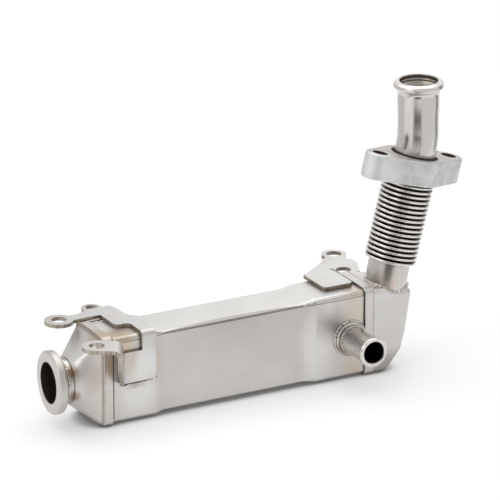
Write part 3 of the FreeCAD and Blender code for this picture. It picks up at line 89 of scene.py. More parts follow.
def spotAt(tree, coords, spot):
    # 1 at the middle of a tinted patch, 0 beyond its reach; squash narrows it along an axis
    moved = putNode(tree, "VectorMath", {0: coords, 1: spot["at"]}, operation="SUBTRACT")
    squashed = putNode(tree, "VectorMath", {0: moved.outputs[0], 1: spot.get("squash", (1, 1, 1))},
                       operation="MULTIPLY")
    distance = putNode(tree, "VectorMath", {0: squashed.outputs[0]}, operation="LENGTH")
    wobble = grainAt(tree, coords, spot.get("wobbleScale", 90), detail=2.0)
    pushed = calc(tree, "MULTIPLY", wobble, spot.get("wobble", 0.3) * spot["reach"])
    total = calc(tree, "ADD", distance.outputs["Value"], pushed)
    fade = rangeOf(tree, total, spot["reach"] * spot.get("core", 0.35), spot["reach"], 1.0, 0.0)
    return calc(tree, "MULTIPLY", fade, spot["amount"])


def bandAt(tree, coords, band):
    # 1 on a narrow line across one axis, with soft sides
    offset = calc(tree, "SUBTRACT", axisOf(tree, coords, band["axis"]), band["at"])
    away = calc(tree, "ABSOLUTE", offset)
    line = rangeOf(tree, away, band["half"], band["half"] + band["soft"], 1.0, 0.0)
    return calc(tree, "MULTIPLY", line, band["amount"])


def within(tree, *masks):
    total = masks[0]
    for mask in masks[1:]:
        total = calc(tree, "MULTIPLY", total, mask)
    return total


# how far the faces of the brackets lean, as shares of a unit normal
plateTurn = {"side": 0.4, "legBend": 0.85, "fold": 0.3, "slack": 0.05, "across": 0.45}


def cutEdges(tree, coords, rule):
    # 1 on the sawn sides of a plate, 0 on its faces; folds are told from cuts by the way they face
    normal = putNode(tree, "NewGeometry").outputs["True Normal"]
    facingX, facingY, facingZ = (axisOf(tree, normal, axis) for axis in range(3))
    sideways = calc(tree, "LESS_THAN", calc(tree, "ABSOLUTE", facingZ), plateTurn["side"])
    if "leg" not in rule:
        return sideways
    inFront = calc(tree, "LESS_THAN", axisOf(tree, coords, 1), rule["front"])
    onLeg = putNode(tree, "VectorMath", {0: normal, 1: rule["leg"]}, operation="DOT_PRODUCT")
    legBend = calc(tree, "GREATER_THAN", onLeg.outputs["Value"], plateTurn["legBend"])
    narrow = calc(tree, "LESS_THAN", calc(tree, "ABSOLUTE", facingX), plateTurn["fold"])
    fold = within(tree, inFront, narrow)
    bends = calc(tree, "MAXIMUM", fold, legBend)
    upper = within(tree, sideways, calc(tree, "SUBTRACT", 1.0, bends))
    outside = within(tree, calc(tree, "GREATER_THAN", facingX, -plateTurn["slack"]),
                     calc(tree, "LESS_THAN", facingY, -plateTurn["across"]))
    inside = within(tree, calc(tree, "LESS_THAN", facingX, plateTurn["slack"]),
                    calc(tree, "GREATER_THAN", facingY, plateTurn["across"]))
    lower = calc(tree, "SUBTRACT", 1.0, calc(tree, "MAXIMUM", outside, inside))
    belowFold = calc(tree, "LESS_THAN", axisOf(tree, coords, 2), rule["foldBelow"])
    isLower = within(tree, inFront, belowFold)
    return calc(tree, "ADD", within(tree, lower, isLower),
                within(tree, upper, calc(tree, "SUBTRACT", 1.0, isLower)))


boreBlend = 0.0002  # how softly the painted shade ends at a hole's edge


def boreAt(tree, coords, bore):
    # 1 within a radius of a hole's axis
    moved = putNode(tree, "VectorMath", {0: coords, 1: bore["at"]}, operation="SUBTRACT")
    across = putNode(tree, "VectorMath", {0: moved.outputs[0], 1: bore["axis"]},
                     operation="CROSS_PRODUCT")
    away = putNode(tree, "VectorMath", {0: across.outputs[0]}, operation="LENGTH")
    return rangeOf(tree, away.outputs["Value"], bore["radius"], bore["radius"] + boreBlend,
                   1.0, 0.0)


def facingIn(tree, coords, centre):
    # 1 on the inner walls of a hollow piece
    normal = putNode(tree, "NewGeometry").outputs["True Normal"]
    moved = putNode(tree, "VectorMath", {0: coords, 1: centre}, operation="SUBTRACT")
    outward = putNode(tree, "VectorMath", {0: moved.outputs[0], 1: normal}, operation="DOT_PRODUCT")
    return calc(tree, "LESS_THAN", outward.outputs["Value"], 0.0)


# the shares of a noise that are drawn out to full contrast, and the marks of a saw on a cut edge
noiseSpread = {"patch": (0.36, 0.66), "streak": (0.3, 0.7), "fine": (0.25, 0.75),
               "saw": (0.35, 0.65)}
sawMarks = {"scale": 1500, "stretch": (1, 1, 0.12)}


def metalFinish(name, look):
    material = bpy.data.materials.new(name)
    material.use_nodes = True
    tree = material.node_tree
    tree.nodes.clear()
    coords = putNode(tree, "TexCoord").outputs["Object"]
    patches = grainAt(tree, coords, look["patchScale"], look.get("patchStretch", (1, 1, 1)))
    patchAmount = rangeOf(tree, patches, *noiseSpread["patch"], 0.0, 1.0)
    colour = mixColour(tree, patchAmount, (*look["colour"], 1), (*look["patchColour"], 1))
    streaks = grainAt(tree, coords, look["grainScale"], look["stretch"], detail=4.0, rough=0.6)
    streak = rangeOf(tree, streaks, *noiseSpread["streak"], 1.0 - look["streak"],
                     1.0 + look["streak"])
    colour = mixColour(tree, 1.0, colour, putNode(tree, "CombineColor", {
        0: streak, 1: streak, 2: streak}).outputs[0], "MULTIPLY")
    if "shaded" in look:  # painted shade: a face darkened by the way it points
        normal = putNode(tree, "NewGeometry").outputs["True Normal"]
        along = putNode(tree, "VectorMath", {0: normal, 1: look["shaded"]["way"]},
                        operation="DOT_PRODUCT")
        colour = mixColour(tree, rangeOf(tree, along.outputs["Value"], 0.7, 0.95, 0.0, 1.0), colour,
                           (*look["shaded"]["colour"], 1))
    for spot in look.get("tints", []):
        colour = mixColour(tree, spotAt(tree, coords, spot), colour, (*spot["colour"], 1))
    for band in look.get("bands", []):
        colour = mixColour(tree, bandAt(tree, coords, band), colour, (*band["colour"], 1))
    fine = grainAt(tree, coords, look["grainScale"] * 1.7, look["stretch"], detail=5.0, rough=0.65)
    rough = rangeOf(tree, fine, *noiseSpread["fine"], *look["rough"])
    if "cut" in look:
        cut = cutEdges(tree, coords, look["cut"])
        saw = grainAt(tree, coords, sawMarks["scale"], sawMarks["stretch"])
        sawn = mixColour(tree, rangeOf(tree, saw, *noiseSpread["saw"], 0.0, 1.0),
                         (*look["cut"]["dark"], 1), (*look["cut"]["light"], 1))
        colour = mixColour(tree, cut, colour, sawn)
    # painted shade deep inside holes and bores
    for bore in look.get("bores", []):
        colour = mixColour(tree, boreAt(tree, coords, bore), colour, (*boreShadeColour, 1))
    if "hollow" in look:  # painted shade on the inner walls
        colour = mixColour(tree, facingIn(tree, coords, look["hollow"]), colour,
                           (*look.get("hollowColour", boreShadeColour), 1))
    # painted shade, with some grime: ambient occlusion darkens crevices, recesses and the lines
    # where parts meet
    shade = putNode(tree, "AmbientOcclusion", {"Distance": look["shadeAndGrimeReach"]}, samples=6)
    shadeAndGrimeMask = rangeOf(tree, shade.outputs["AO"], look["shadeAndGrimeDeep"], look["shadeAndGrimeShallow"],
                   look["shadeAndGrime"], 0.0)
    colour = mixColour(tree, shadeAndGrimeMask, colour, (*look["shadeAndGrimeColour"], 1))
    soft = putNode(tree, "Bevel", {"Radius": look["edge"]}, samples=4)
    swell = grainAt(tree, coords, look["swellScale"], detail=1.0)
    wave = putNode(tree, "Bump", {"Strength": 1.0, "Distance": look["swell"], "Height": swell,
                                  "Normal": soft.outputs[0]})
    bump = putNode(tree, "Bump", {"Strength": look["bump"], "Distance": look["depth"],
                                  "Height": fine, "Normal": wave.outputs[0]})
    shader = putNode(tree, "BsdfPrincipled", {
        "Base Color": colour, "Metallic": 1.0, "Roughness": rough, "Normal": bump.outputs[0]})
    putNode(tree, "OutputMaterial", {"Surface": shader.outputs[0]})
    return material


def dress(material, *names):
    for name in names:
        for place in nodes[name].material_slots:
            place.material = material


# Finishes

# a brown near black: painted shade deep in holes, bores and hollow insides
boreShadeColour = (0.125, 0.098, 0.076)
# the last five values set the painted shade, with some grime, that darkens crevices and joints
satin = {"colour": (0.625, 0.600, 0.575), "patchColour": (0.575, 0.548, 0.522), "patchScale": 26,
         "grainScale": 1400, "stretch": (0.5, 1, 1), "streak": 0.02, "rough": (0.30, 0.42),
         "bump": 0.2, "depth": 0.00002, "swellScale": 20, "swell": 0.0007, "edge": 0.0005,
         "shadeAndGrime": 0.75, "shadeAndGrimeReach": 0.0022, "shadeAndGrimeDeep": 0.2, "shadeAndGrimeShallow": 0.85,
         "shadeAndGrimeColour": (0.07, 0.05, 0.035)}
# a pale grey for painted light on faces made to look more brightly lit
paintedLightColour = (0.74, 0.73, 0.715)
strawTint = (0.60, 0.475, 0.36)
brownTint = (0.26, 0.18, 0.12)

trayLook = dict(satin, patchStretch=(0.7, 1, 1), tints=[
    # painted light on the outlet end of the front face
    {"at": (0.186, -0.0177, -0.004), "reach": 0.034, "amount": 0.8, "colour": paintedLightColour,
     "squash": (1.8, 1, 0.6)},
    # painted light on the inlet end of the front face
    {"at": (0.055, -0.0177, -0.014), "reach": 0.024, "amount": 0.8, "colour": paintedLightColour},
    {"at": (0.053, -0.0177, -0.0052), "reach": 0.010, "amount": 0.55, "colour": (0.34, 0.27, 0.22),
     "squash": (0.8, 1, 2.2), "wobble": 0.5, "wobbleScale": 300},
    {"at": (0.070, -0.0168, 0.012), "reach": 0.012, "amount": 0.5, "colour": (0.55, 0.49, 0.44),
     "squash": (1.6, 1, 0.5)},
    {"at": (0.2125, -0.0177, 0.010), "reach": 0.026, "amount": 0.55, "colour": (0.62, 0.51, 0.41),
     "squash": (1.9, 1, 0.55)},
    # painted light over the nipple's dark reflection left of the boss
    {"at": (0.1935, -0.0177, 0.012), "reach": 0.018, "amount": 0.8, "colour": (0.78, 0.71, 0.69),
     "squash": (1.9, 1, 0.7)},
    {"at": (0.042, -0.0177, 0.024), "reach": 0.018, "amount": 0.75, "colour": strawTint},
    {"at": (0.212, -0.0177, -0.022), "reach": 0.014, "amount": 0.45, "colour": strawTint},
    {"at": (0.120, -0.0166, 0.006), "reach": 0.050, "amount": 0.35, "colour": (0.53, 0.50, 0.485),
     "squash": (0.8, 1, 1.3)},
# a dark line under the top front edge: the seam, with painted shade that holds down the corner's
# highlight
], bands=[{"axis": 2, "at": 0.0253, "half": 0.00022, "soft": 0.0003, "amount": 0.6,
           "colour": (0.12, 0.09, 0.075)}])
coverLook = dict(satin, colour=(0.69, 0.68, 0.66), patchColour=(0.645, 0.63, 0.61), shadeAndGrime=0.9,
                 shadeAndGrimeReach=0.004, shadeAndGrimeDeep=0.3, tints=[
    # a darker line along the top front edge: the seam, with painted shade that holds down the
    # corner's highlight
    {"at": (0.125, -0.0165, 0.0262), "reach": 0.056, "amount": 0.8, "colour": (0.34, 0.32, 0.30),
     "squash": (1, 12, 36), "wobble": 0.05, "core": 0.8},
    # brown under the bracket's notch: heat tint, with painted shade beneath the plate
    {"at": (0.044, -0.012, 0.0288), "reach": 0.020, "amount": 0.95, "colour": (0.50, 0.41, 0.32)},
    {"at": (0.216, -0.014, 0.0288), "reach": 0.016, "amount": 0.5, "colour": strawTint},
])
coneLook = dict(satin, rough=(0.27, 0.38), hollow=(0.022, 0, 0), tints=[
    # painted light on the top of the cone
    {"at": (0.018, -0.004, 0.022), "reach": 0.020, "amount": 0.7, "colour": paintedLightColour},
    {"at": (0.0105, -0.0118, 0.0088), "reach": 0.0085, "amount": 0.95, "colour": brownTint},
    {"at": (0.0105, -0.0148, -0.0060), "reach": 0.0065, "amount": 0.8, "colour": brownTint},
    {"at": (0.0215, -0.0180, 0.0020), "reach": 0.014, "amount": 0.25, "colour": (0.42, 0.35, 0.31),
     "squash": (1.6, 1, 0.7)},
    # golden heat tint on the skirt under the ear, darkened with painted shade of the leg's
    # reflection
    {"at": (0.035, -0.019, 0.014), "reach": 0.020, "amount": 0.85, "colour": (0.53, 0.40, 0.28),
     "squash": (2.4, 1, 1)},
    # brown under the bracket's notch: heat tint, with painted shade beneath the plate
    {"at": (0.034, -0.010, 0.0303), "reach": 0.016, "amount": 0.85, "colour": (0.50, 0.41, 0.32)},
    {"at": (0.024, -0.016, 0.006), "reach": 0.016, "amount": 0.35, "colour": (0.47, 0.39, 0.35)},
# painted shade on the dark side of the skirt's fold
], bands=[{"axis": 0, "at": 0.0289, "half": 0.0003, "soft": 0.0008, "amount": 0.6,
           "colour": (0.28, 0.21, 0.16)}], shadeAndGrimeReach=0.004, shadeAndGrimeDeep=0.1)
tankLook = dict(satin, colour=(0.63, 0.615, 0.60), patchColour=(0.585, 0.568, 0.55), tints=[
    # painted shade: the tank grows darker towards its bottom
    {"at": (0.240, -0.0193, -0.029), "reach": 0.026, "amount": 0.95, "colour": (0.36, 0.33, 0.305),
     "squash": (0.7, 1, 1.2)},
    # painted light on the tank's top
    {"at": (0.236, -0.010, 0.0306), "reach": 0.018, "amount": 0.85, "colour": (0.86, 0.84, 0.82)}])
collarLook = dict(satin, colour=(0.62, 0.605, 0.585))
neckLook = dict(satin, colour=(0.68, 0.66, 0.635), rough=(0.28, 0.38), streak=0.04,
                stretch=(1, 1, 0.2), tints=[
    {"at": (0.233, -0.0135, 0.0335), "reach": 0.0075, "amount": 0.7, "colour": brownTint},
    {"at": (0.238, -0.018, 0.031), "reach": 0.011, "amount": 0.45, "colour": strawTint},
    {"at": (0.2345, -0.016, 0.038), "reach": 0.011, "amount": 0.4, "colour": (0.52, 0.48, 0.45)},
])
pipeLook = dict(satin, colour=(0.67, 0.65, 0.622), patchColour=(0.63, 0.605, 0.575),
                rough=(0.19, 0.25), stretch=(1, 1, 0.15), streak=0.02, bump=0.06, swell=0.0014,
                # its inner wall is darkened: painted shade inside the pipe
                swellScale=28, shadeAndGrime=0.4, hollow=(0.267091, -0.0052, 0.158),
                hollowColour=(0.36, 0.325, 0.29))
ringLook = dict(satin, colour=(0.62, 0.59, 0.56), patchColour=(0.57, 0.54, 0.51), rough=(0.38, 0.5),
                grainScale=2600, stretch=(1, 1, 1), bump=0.5, depth=0.00004, edge=0.0003,
                shadeAndGrime=0.8, shadeAndGrimeReach=0.004, bores=[
                    {"at": (0, 0, 0), "axis": (0.996345, -0.085417, 0), "radius": 0.0136}])
flangeAt = Vector((0.264511, -0.0052, 0.111276))
flangeAxis = (0.246999, 0, 0.969016)
flangeAlong = Vector((0.952170, 0.185667, -0.242703)) * 0.0305
flangeLook = dict(satin, colour=(0.71, 0.715, 0.715), patchColour=(0.60, 0.605, 0.605),
                  patchScale=120, grainScale=1000, stretch=(1, 1, 1), streak=0.10,
                  rough=(0.45, 0.62), bump=1.0, depth=0.00016, swell=0.0003, swellScale=60,
                  edge=0.0004, shadeAndGrime=0.5, shadeAndGrimeReach=0.003,
                  # painted shade on the flange's top face
                  shaded={"way": flangeAxis, "colour": (0.50, 0.475, 0.455)}, tints=[
                      # painted light on the left end of the flange
                      {"at": (0.232, -0.018, 0.108), "reach": 0.024, "amount": 0.9,
                       "colour": (0.86, 0.86, 0.86)}],
                  bores=[{"at": tuple(flangeAt + side * flangeAlong), "axis": flangeAxis,
                          "radius": 0.0051} for side in (1, -1)])
nippleLook = dict(satin, colour=(0.74, 0.72, 0.69), patchColour=(0.68, 0.655, 0.62),
                  rough=(0.20, 0.32), stretch=(1, 0.15, 1), streak=0.10, shadeAndGrime=0.7,
                  shadeAndGrimeReach=0.003, bores=[
                      {"at": (0.2104, 0, -0.0022), "axis": (0, 1, 0), "radius": 0.0073},
                      {"at": (0.0860, 0, -0.0022), "axis": (0, 1, 0), "radius": 0.0073}])
bossLook = dict(satin, rough=(0.2, 0.3), shadeAndGrimeReach=0.003, tints=[
    {"at": (0.203, -0.020, -0.009), "reach": 0.012, "amount": 0.7, "colour": brownTint}])
plateLook = dict(satin, colour=(0.66, 0.65, 0.635), patchColour=(0.60, 0.585, 0.565), patchScale=45,
                 rough=(0.36, 0.5), stretch=(1, 1, 1), swell=0.0003, edge=0.0003,
                 cut={"dark": (0.22, 0.175, 0.14), "light": (0.36, 0.315, 0.27)})
foldedLook = dict(plateLook, cut={"dark": (0.30, 0.255, 0.215), "light": (0.52, 0.47, 0.42),
                                  "foldBelow": 0.0283, "front": -0.0165, "leg": (0.866, -0.5, 0)},
                  colour=(0.63, 0.615, 0.60), patchColour=(0.57, 0.55, 0.53),
                  tints=[{"at": (0.020, -0.030, 0.031), "reach": 0.016, "amount": 0.35,
                          "colour": (0.56, 0.48, 0.41)},
                         # painted light on the bracket's front plate
                         {"at": (0.058, -0.0202, 0.008), "reach": 0.022, "amount": 0.9,
                          "colour": (0.755, 0.75, 0.735)},
                         {"at": (0.048, -0.020, 0.014), "reach": 0.010, "amount": 0.5,
                          "colour": (0.52, 0.43, 0.35), "squash": (1, 1, 0.5)}])
# the inner parts are painted near black: painted shade deep inside the cooler
innerShadeLook = dict(satin, colour=(0.10, 0.075, 0.055), patchColour=(0.06, 0.045, 0.035),
                 rough=(0.45, 0.6))
weldLook = dict(satin, colour=(0.66, 0.63, 0.595), patchColour=(0.47, 0.40, 0.34), patchScale=300,
                rough=(0.18, 0.30), edge=0.0001, swell=0.0001, shadeAndGrime=0.5, shadeAndGrimeReach=0.0012)
# near black: brazed joints, with painted shade in their gaps and under the plate's edge
brazeAndShadeLook = dict(satin, colour=(0.16, 0.12, 0.095), patchColour=(0.10, 0.075, 0.06), patchScale=300,
                 rough=(0.4, 0.6), edge=0.0001, swell=0.0001)
# a darker seam: the lap joint, with painted shade under the cover's edge
seamAndShadeLineLook = dict(brazeAndShadeLook, colour=(0.36, 0.32, 0.29), patchColour=(0.27, 0.23, 0.20),
                   rough=(0.3, 0.45))
seamLook = dict(satin, colour=(0.68, 0.66, 0.63), patchColour=(0.54, 0.50, 0.465), patchScale=200,
                rough=(0.24, 0.34), edge=0.0001, swell=0.0001)

dress(metalFinish("shellTrayMetal", trayLook), "shell_tray")
dress(metalFinish("shellCoverMetal", coverLook), "shell_cover")
dress(metalFinish("inletConeMetal", coneLook), "inlet_cone")
dress(metalFinish("tankMetal", tankLook), "outlet_tank")
dress(metalFinish("collarMetal", collarLook), "outlet_collar")
dress(metalFinish("neckMetal", neckLook), "outlet_neck")
dress(metalFinish("ringMetal", ringLook), "inlet_flange")
dress(metalFinish("castMetal", flangeLook), "oval_flange")
dress(metalFinish("nippleMetal", nippleLook), "front_nipple", "rear_nipple")
dress(metalFinish("bossMetal", bossLook), "front_boss", "rear_boss")
dress(metalFinish("foldedPlateMetal", foldedLook), "inlet_bracket")
dress(metalFinish("plateMetal", plateLook), "outlet_bracket")
dress(metalFinish("innerShadeMetal", innerShadeLook), "inlet_tube_plate", "outlet_tube_plate",
      "first_baffle", "second_baffle", *["gas_tube_%d" % k for k in range(1, 7)],
      *["fin_%d" % k for k in range(1, 7)])
print("finishes set")


# Pieces made here

mergeWithin = 1e-6  # points closer than this are one


def finishPiece(mesh, name, material):
    bmesh.ops.remove_doubles(mesh, verts=mesh.verts, dist=mergeWithin)
    bmesh.ops.recalc_face_normals(mesh, faces=mesh.faces)
    data = bpy.data.meshes.new(name)
    mesh.to_mesh(data)
    mesh.free()
    data.shade_smooth()
    piece = bpy.data.objects.new(name, data)
    bpy.context.scene.collection.objects.link(piece)
    data.materials.append(material)
    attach(piece, "root")
    return piece


def drawWire(mesh, corners):
    # an open wire through corners given as radius and height
    spots = [mesh.verts.new((x, 0, z)) for x, z in corners]
    for first, second in zip(spots, spots[1:]):
        mesh.edges.new((first, second))
    return spots


def turnFull(mesh, steps):
    bmesh.ops.spin(mesh, geom=mesh.verts[:] + mesh.edges[:], cent=(0, 0, 0), axis=(0, 0, 1),
                   angle=math.tau, steps=steps, use_merge=True, use_duplicate=False)
    bmesh.ops.remove_doubles(mesh, verts=mesh.verts, dist=mergeWithin)


def ovalArc(middle, across, tall, start, end, count):
    # points of an oval from one angle to another, in degrees
    turns = [math.radians(start + (end - start) * k / count) for k in range(count + 1)]
    return [(middle[0] + across * math.cos(a), middle[1] + tall * math.sin(a)) for a in turns]


# Bellows, rounded convolutions turned about the leaning axis

bellowsSize = {"start": (0.2467, -0.0052, 0.0414), "lean": 14.3, "crest": 0.0172, "depth": 0.0031,
               "pitch": 0.00323, "count": 17, "sheet": 0.0004, "groove": 0.42, "steps": 128,
               "crestRound": 0.00090, "rootRound": 0.00060, "crestSteps": 5, "rootSteps": 3,
               "near": 1e-5}


def makeBellows(s):
    mesh = bmesh.new()
    root = s["crest"] - s["depth"]
    corners = [(root, 0.0)]
    for k in range(s["count"]):
        low = (k + s["groove"] / 2) * s["pitch"]
        high = (k + 1 - s["groove"] / 2) * s["pitch"]
        corners += [(root, low), (s["crest"], low), (s["crest"], high), (root, high)]
    corners.append((root, s["count"] * s["pitch"]))
    spots = drawWire(mesh, corners)
    crests = [v for v in spots if v.co.x > s["crest"] - s["near"]]
    roots = [v for v in spots[1:-1] if v.co.x < root + s["near"]]
    bmesh.ops.bevel(mesh, geom=crests, offset=s["crestRound"], offset_type="OFFSET",
                    segments=s["crestSteps"], profile=0.5, affect="VERTICES", material=-1)
    bmesh.ops.bevel(mesh, geom=roots, offset=s["rootRound"], offset_type="OFFSET",
                    segments=s["rootSteps"], profile=0.5, affect="VERTICES", material=-1)
    inner = [mesh.verts.new((root - s["sheet"], 0, z)) for z in (0.0, s["count"] * s["pitch"])]
    ends = sorted([v for v in mesh.verts if len(v.link_edges) == 1], key=lambda v: v.co.z)
    mesh.edges.new((inner[0], ends[0]))
    mesh.edges.new((inner[1], ends[-1]))
    mesh.edges.new((inner[0], inner[1]))
    turnFull(mesh, s["steps"])
    place = Matrix.Translation(s["start"]) @ Matrix.Rotation(math.radians(s["lean"]), 4, "Y")
    bmesh.ops.transform(mesh, matrix=place, verts=mesh.verts)
    return mesh


# the folds are darkened to near black by strong occlusion: painted shade between the convolutions
bellowsLook = dict(satin, colour=(0.80, 0.765, 0.73), patchColour=(0.73, 0.69, 0.65),
                   rough=(0.08, 0.14), streak=0.02, swell=0.0001, edge=0.0001, shadeAndGrime=0.97,
                   shadeAndGrimeReach=0.0032, shadeAndGrimeDeep=0.40, shadeAndGrimeColour=(0.016, 0.010, 0.006))
bellowsPiece = finishPiece(makeBellows(bellowsSize), "bellows_skin",
                           metalFinish("bellowsMetal", bellowsLook))
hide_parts("bellows")
print("bellows made")


# Outlet pipe, rolled out into a hollow bead under its rim, with its bend and its leaning foot

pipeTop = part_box("outlet_pipe")[1][2]
pipeSize = {"at": (0.267091, -0.0052), "radius": 0.0136, "bore": 0.0124, "rise": 0.0342,
            "bend": 0.045, "lean": 14.3, "lead": 0.022, "beadDrop": 0.0028, "beadOut": 0.0030,
            "beadTall": 0.0027, "beadTurn": 72, "beadSteps": 18, "grooveOut": 0.0019,
            "grooveTall": 0.0018, "grooveTurn": 86, "grooveSteps": 14, "waist": 0.00018,
            "waistRings": 12, "waistShare": 0.88, "tuck": 0.0001, "tuckShare": 1.15,
            "rimDrop": 0.0006, "rimRound": 0.0007, "rimTurn": (60, 180), "rimSteps": 6,
            "boreRing": 0.5, "bendSteps": 10, "steps": 112}


def makePipe(s):
    mesh = bmesh.new()
    bead = s["rise"] - s["beadDrop"]
    outside = [(s["radius"], 0.0)]
    for k in range(1, s["waistRings"]):
        share = k / s["waistRings"]
        outside.append((s["radius"] - s["waist"] * math.sin(math.tau * share),
                        share * bead * s["waistShare"]))
    outside += [(s["radius"] - s["tuck"], bead - s["tuckShare"] * s["beadTall"])]
    outside += ovalArc((s["radius"], bead), s["beadOut"], s["beadTall"],
                       -s["beadTurn"], s["beadTurn"], s["beadSteps"])
    rim = ovalArc(((s["radius"] + s["bore"]) / 2, s["rise"] - s["rimDrop"]),
                  s["rimRound"], s["rimRound"], *s["rimTurn"], s["rimSteps"])
    groove = ovalArc((s["bore"], bead), s["grooveOut"], s["grooveTall"],
                     s["grooveTurn"], -s["grooveTurn"], s["grooveSteps"])
    bore = [(s["bore"], bead * s["boreRing"]), (s["bore"], 0.0)]
    drawWire(mesh, outside + rim + groove + bore)
    turnFull(mesh, s["steps"])
    foot = [e for e in mesh.edges if e.is_boundary]
    lean = math.radians(s["lean"])
    bent = bmesh.ops.spin(mesh, geom=foot, cent=(-s["bend"], 0, 0), axis=(0, 1, 0), angle=lean,
                          steps=s["bendSteps"], use_duplicate=False)
    ends = [g for g in bent["geom_last"] if isinstance(g, bmesh.types.BMEdge)]
    grown = bmesh.ops.extrude_edge_only(mesh, edges=ends)["geom"]
    moved = [g for g in grown if isinstance(g, bmesh.types.BMVert)]
    bmesh.ops.translate(mesh, verts=moved,
                        vec=Vector((math.sin(lean), 0, math.cos(lean))) * -s["lead"])
    last = [g for g in grown if isinstance(g, bmesh.types.BMEdge) and g.is_boundary]
    bmesh.ops.bridge_loops(mesh, edges=last)
    bmesh.ops.translate(mesh, verts=mesh.verts, vec=(*s["at"], pipeTop - s["rise"]))
    return mesh


pipePiece = finishPiece(makePipe(pipeSize), "outlet_pipe_skin", metalFinish("pipeMetal", pipeLook))
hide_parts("outlet_pipe")
print("pipe made")


# Weld rings, rippled as a hand-laid bead

beadGrain = {"round": 12, "perRipple": 5, "lumpScale": 3, "lumpPlace": 900, "rippleShare": 0.5}


def makeWeldRing(s):
    mesh = bmesh.new()
    bmesh.ops.create_circle(mesh, cap_ends=False, radius=s["thick"], segments=beadGrain["round"])
    bmesh.ops.rotate(mesh, verts=mesh.verts, cent=(0, 0, 0),
                     matrix=Matrix.Rotation(math.pi / 2, 3, "X"))
    bmesh.ops.translate(mesh, verts=mesh.verts, vec=(s["radius"], 0, 0))
    turnFull(mesh, s["ripples"] * beadGrain["perRipple"])
    for vert in mesh.verts:
        around = math.atan2(vert.co.y, vert.co.x)
        core = Vector((math.cos(around), math.sin(around), 0)) * s["radius"]
        place = Vector((math.cos(around), math.sin(around), s["radius"] * beadGrain["lumpPlace"]))
        lump = noise.noise(place * beadGrain["lumpScale"])
        ripple = beadGrain["rippleShare"] * math.sin(s["ripples"] * around)
        swell = 1 + s["relief"] * (ripple + lump)
        vert.co = core + (vert.co - core) * swell
    bmesh.ops.transform(mesh, verts=mesh.verts,
                        matrix=Matrix.Translation(s["at"]) @ s["turn"].to_4x4())
    return mesh


weldMetal = metalFinish("weldMetal", weldLook)
facingOut = Matrix.Rotation(math.pi / 2, 3, "X")
bossRing = {"turn": facingOut, "radius": 0.0116, "thick": 0.00090, "ripples": 28, "relief": 0.20,
            "slot": "bosses"}
nippleRing = {"turn": facingOut, "radius": 0.0093, "thick": 0.00060, "ripples": 24, "relief": 0.30,
              "slot": "nipples"}
weldRings = {
    "neck_weld": {"at": (0.24412, -0.0052, 0.0270),
                  "turn": Matrix.Rotation(math.radians(9.3), 3, "Y"), "radius": 0.01395,
                  "thick": 0.00085, "ripples": 34, "relief": 0.30, "slot": "outlet_neck"},
    "inlet_neck_weld": {"at": (0.0085, -0.0007, 0),
                        "turn": Matrix.Rotation(math.radians(-4.9), 3, "Z")
                        @ Matrix.Rotation(math.pi / 2, 3, "Y"), "radius": 0.0148,
                        "thick": 0.00080, "ripples": 36, "relief": 0.35, "slot": "inlet_cone"},
    "front_boss_weld": dict(bossRing, at=(0.2104, -0.0178, -0.0022)),
    "front_nipple_weld": dict(nippleRing, at=(0.2104, -0.0224, -0.0022)),
    "rear_boss_weld": dict(bossRing, at=(0.0860, 0.0167, -0.0022)),
    "rear_nipple_weld": dict(nippleRing, at=(0.0860, 0.0213, -0.0022)),
}
# flat half of the tank's top, its rounded side, and the share of it that the neck's weld follows
tankEdge = {"middle": 0.0147, "round": 0.0046, "followed": 0.95}
for weldName, weld in weldRings.items():
    weldMesh = makeWeldRing(weld)
    if weldName == "neck_weld":
        for vert in weldMesh.verts:
            past = min(abs(vert.co.y) - tankEdge["middle"],
                       tankEdge["round"] * tankEdge["followed"])
            if past > 0:
                vert.co.z -= tankEdge["round"] - math.sqrt(tankEdge["round"] ** 2 - past ** 2)
    finishPiece(weldMesh, weldName, weldMetal)
print("weld rings made")


# Seams and brazed joints, thin rods laid along the sheets' edges

rodGrain = {"step": 0.0008, "scale": 700, "round": 3}


def makeRod(s):
    # an uneven rod through a list of places, with a point at every step
    places = [Vector(place) for place in s["places"]]
    points = []
    for first, second in zip(places, places[1:]):
        count = max(1, round((second - first).length / rodGrain["step"]))
        points += [first.lerp(second, k / count) for k in range(count)]
    points.append(places[-1])
    curve = bpy.data.curves.new("rodLine", "CURVE")
    curve.dimensions = "3D"
    curve.bevel_depth = s["thick"]
    curve.bevel_resolution = rodGrain["round"]
    curve.use_fill_caps = True
    spline = curve.splines.new("POLY")
    spline.points.add(len(points) - 1)
    for spot, place in zip(spline.points, points):
        spot.co = (*place, 1)
        spot.radius = 1 + s["lumps"] * noise.noise(place * rodGrain["scale"])
    holder = bpy.data.objects.new("rodHolder", curve)
    data = bpy.data.meshes.new_from_object(holder)
    mesh = bmesh.new()
    mesh.from_mesh(data)
    bpy.data.objects.remove(holder)
    bpy.data.curves.remove(curve)
    bpy.data.meshes.remove(data)
    return mesh


def overTheTop(x, halfWidth, halfHeight, corner):
    # a path up the front, over the top and down the back of a rounded rectangle
    path = [(x, -halfWidth, -halfHeight + corner)]
    for side, start in ((-1, 180), (1, 90)):
        path += [(x, side * (halfWidth - corner) + dy, halfHeight - corner + dz)
                 for dy, dz in ovalArc((0, 0), corner, corner, start, start - 90, 6)]
    path.append((x, halfWidth, -halfHeight + corner))
    return path


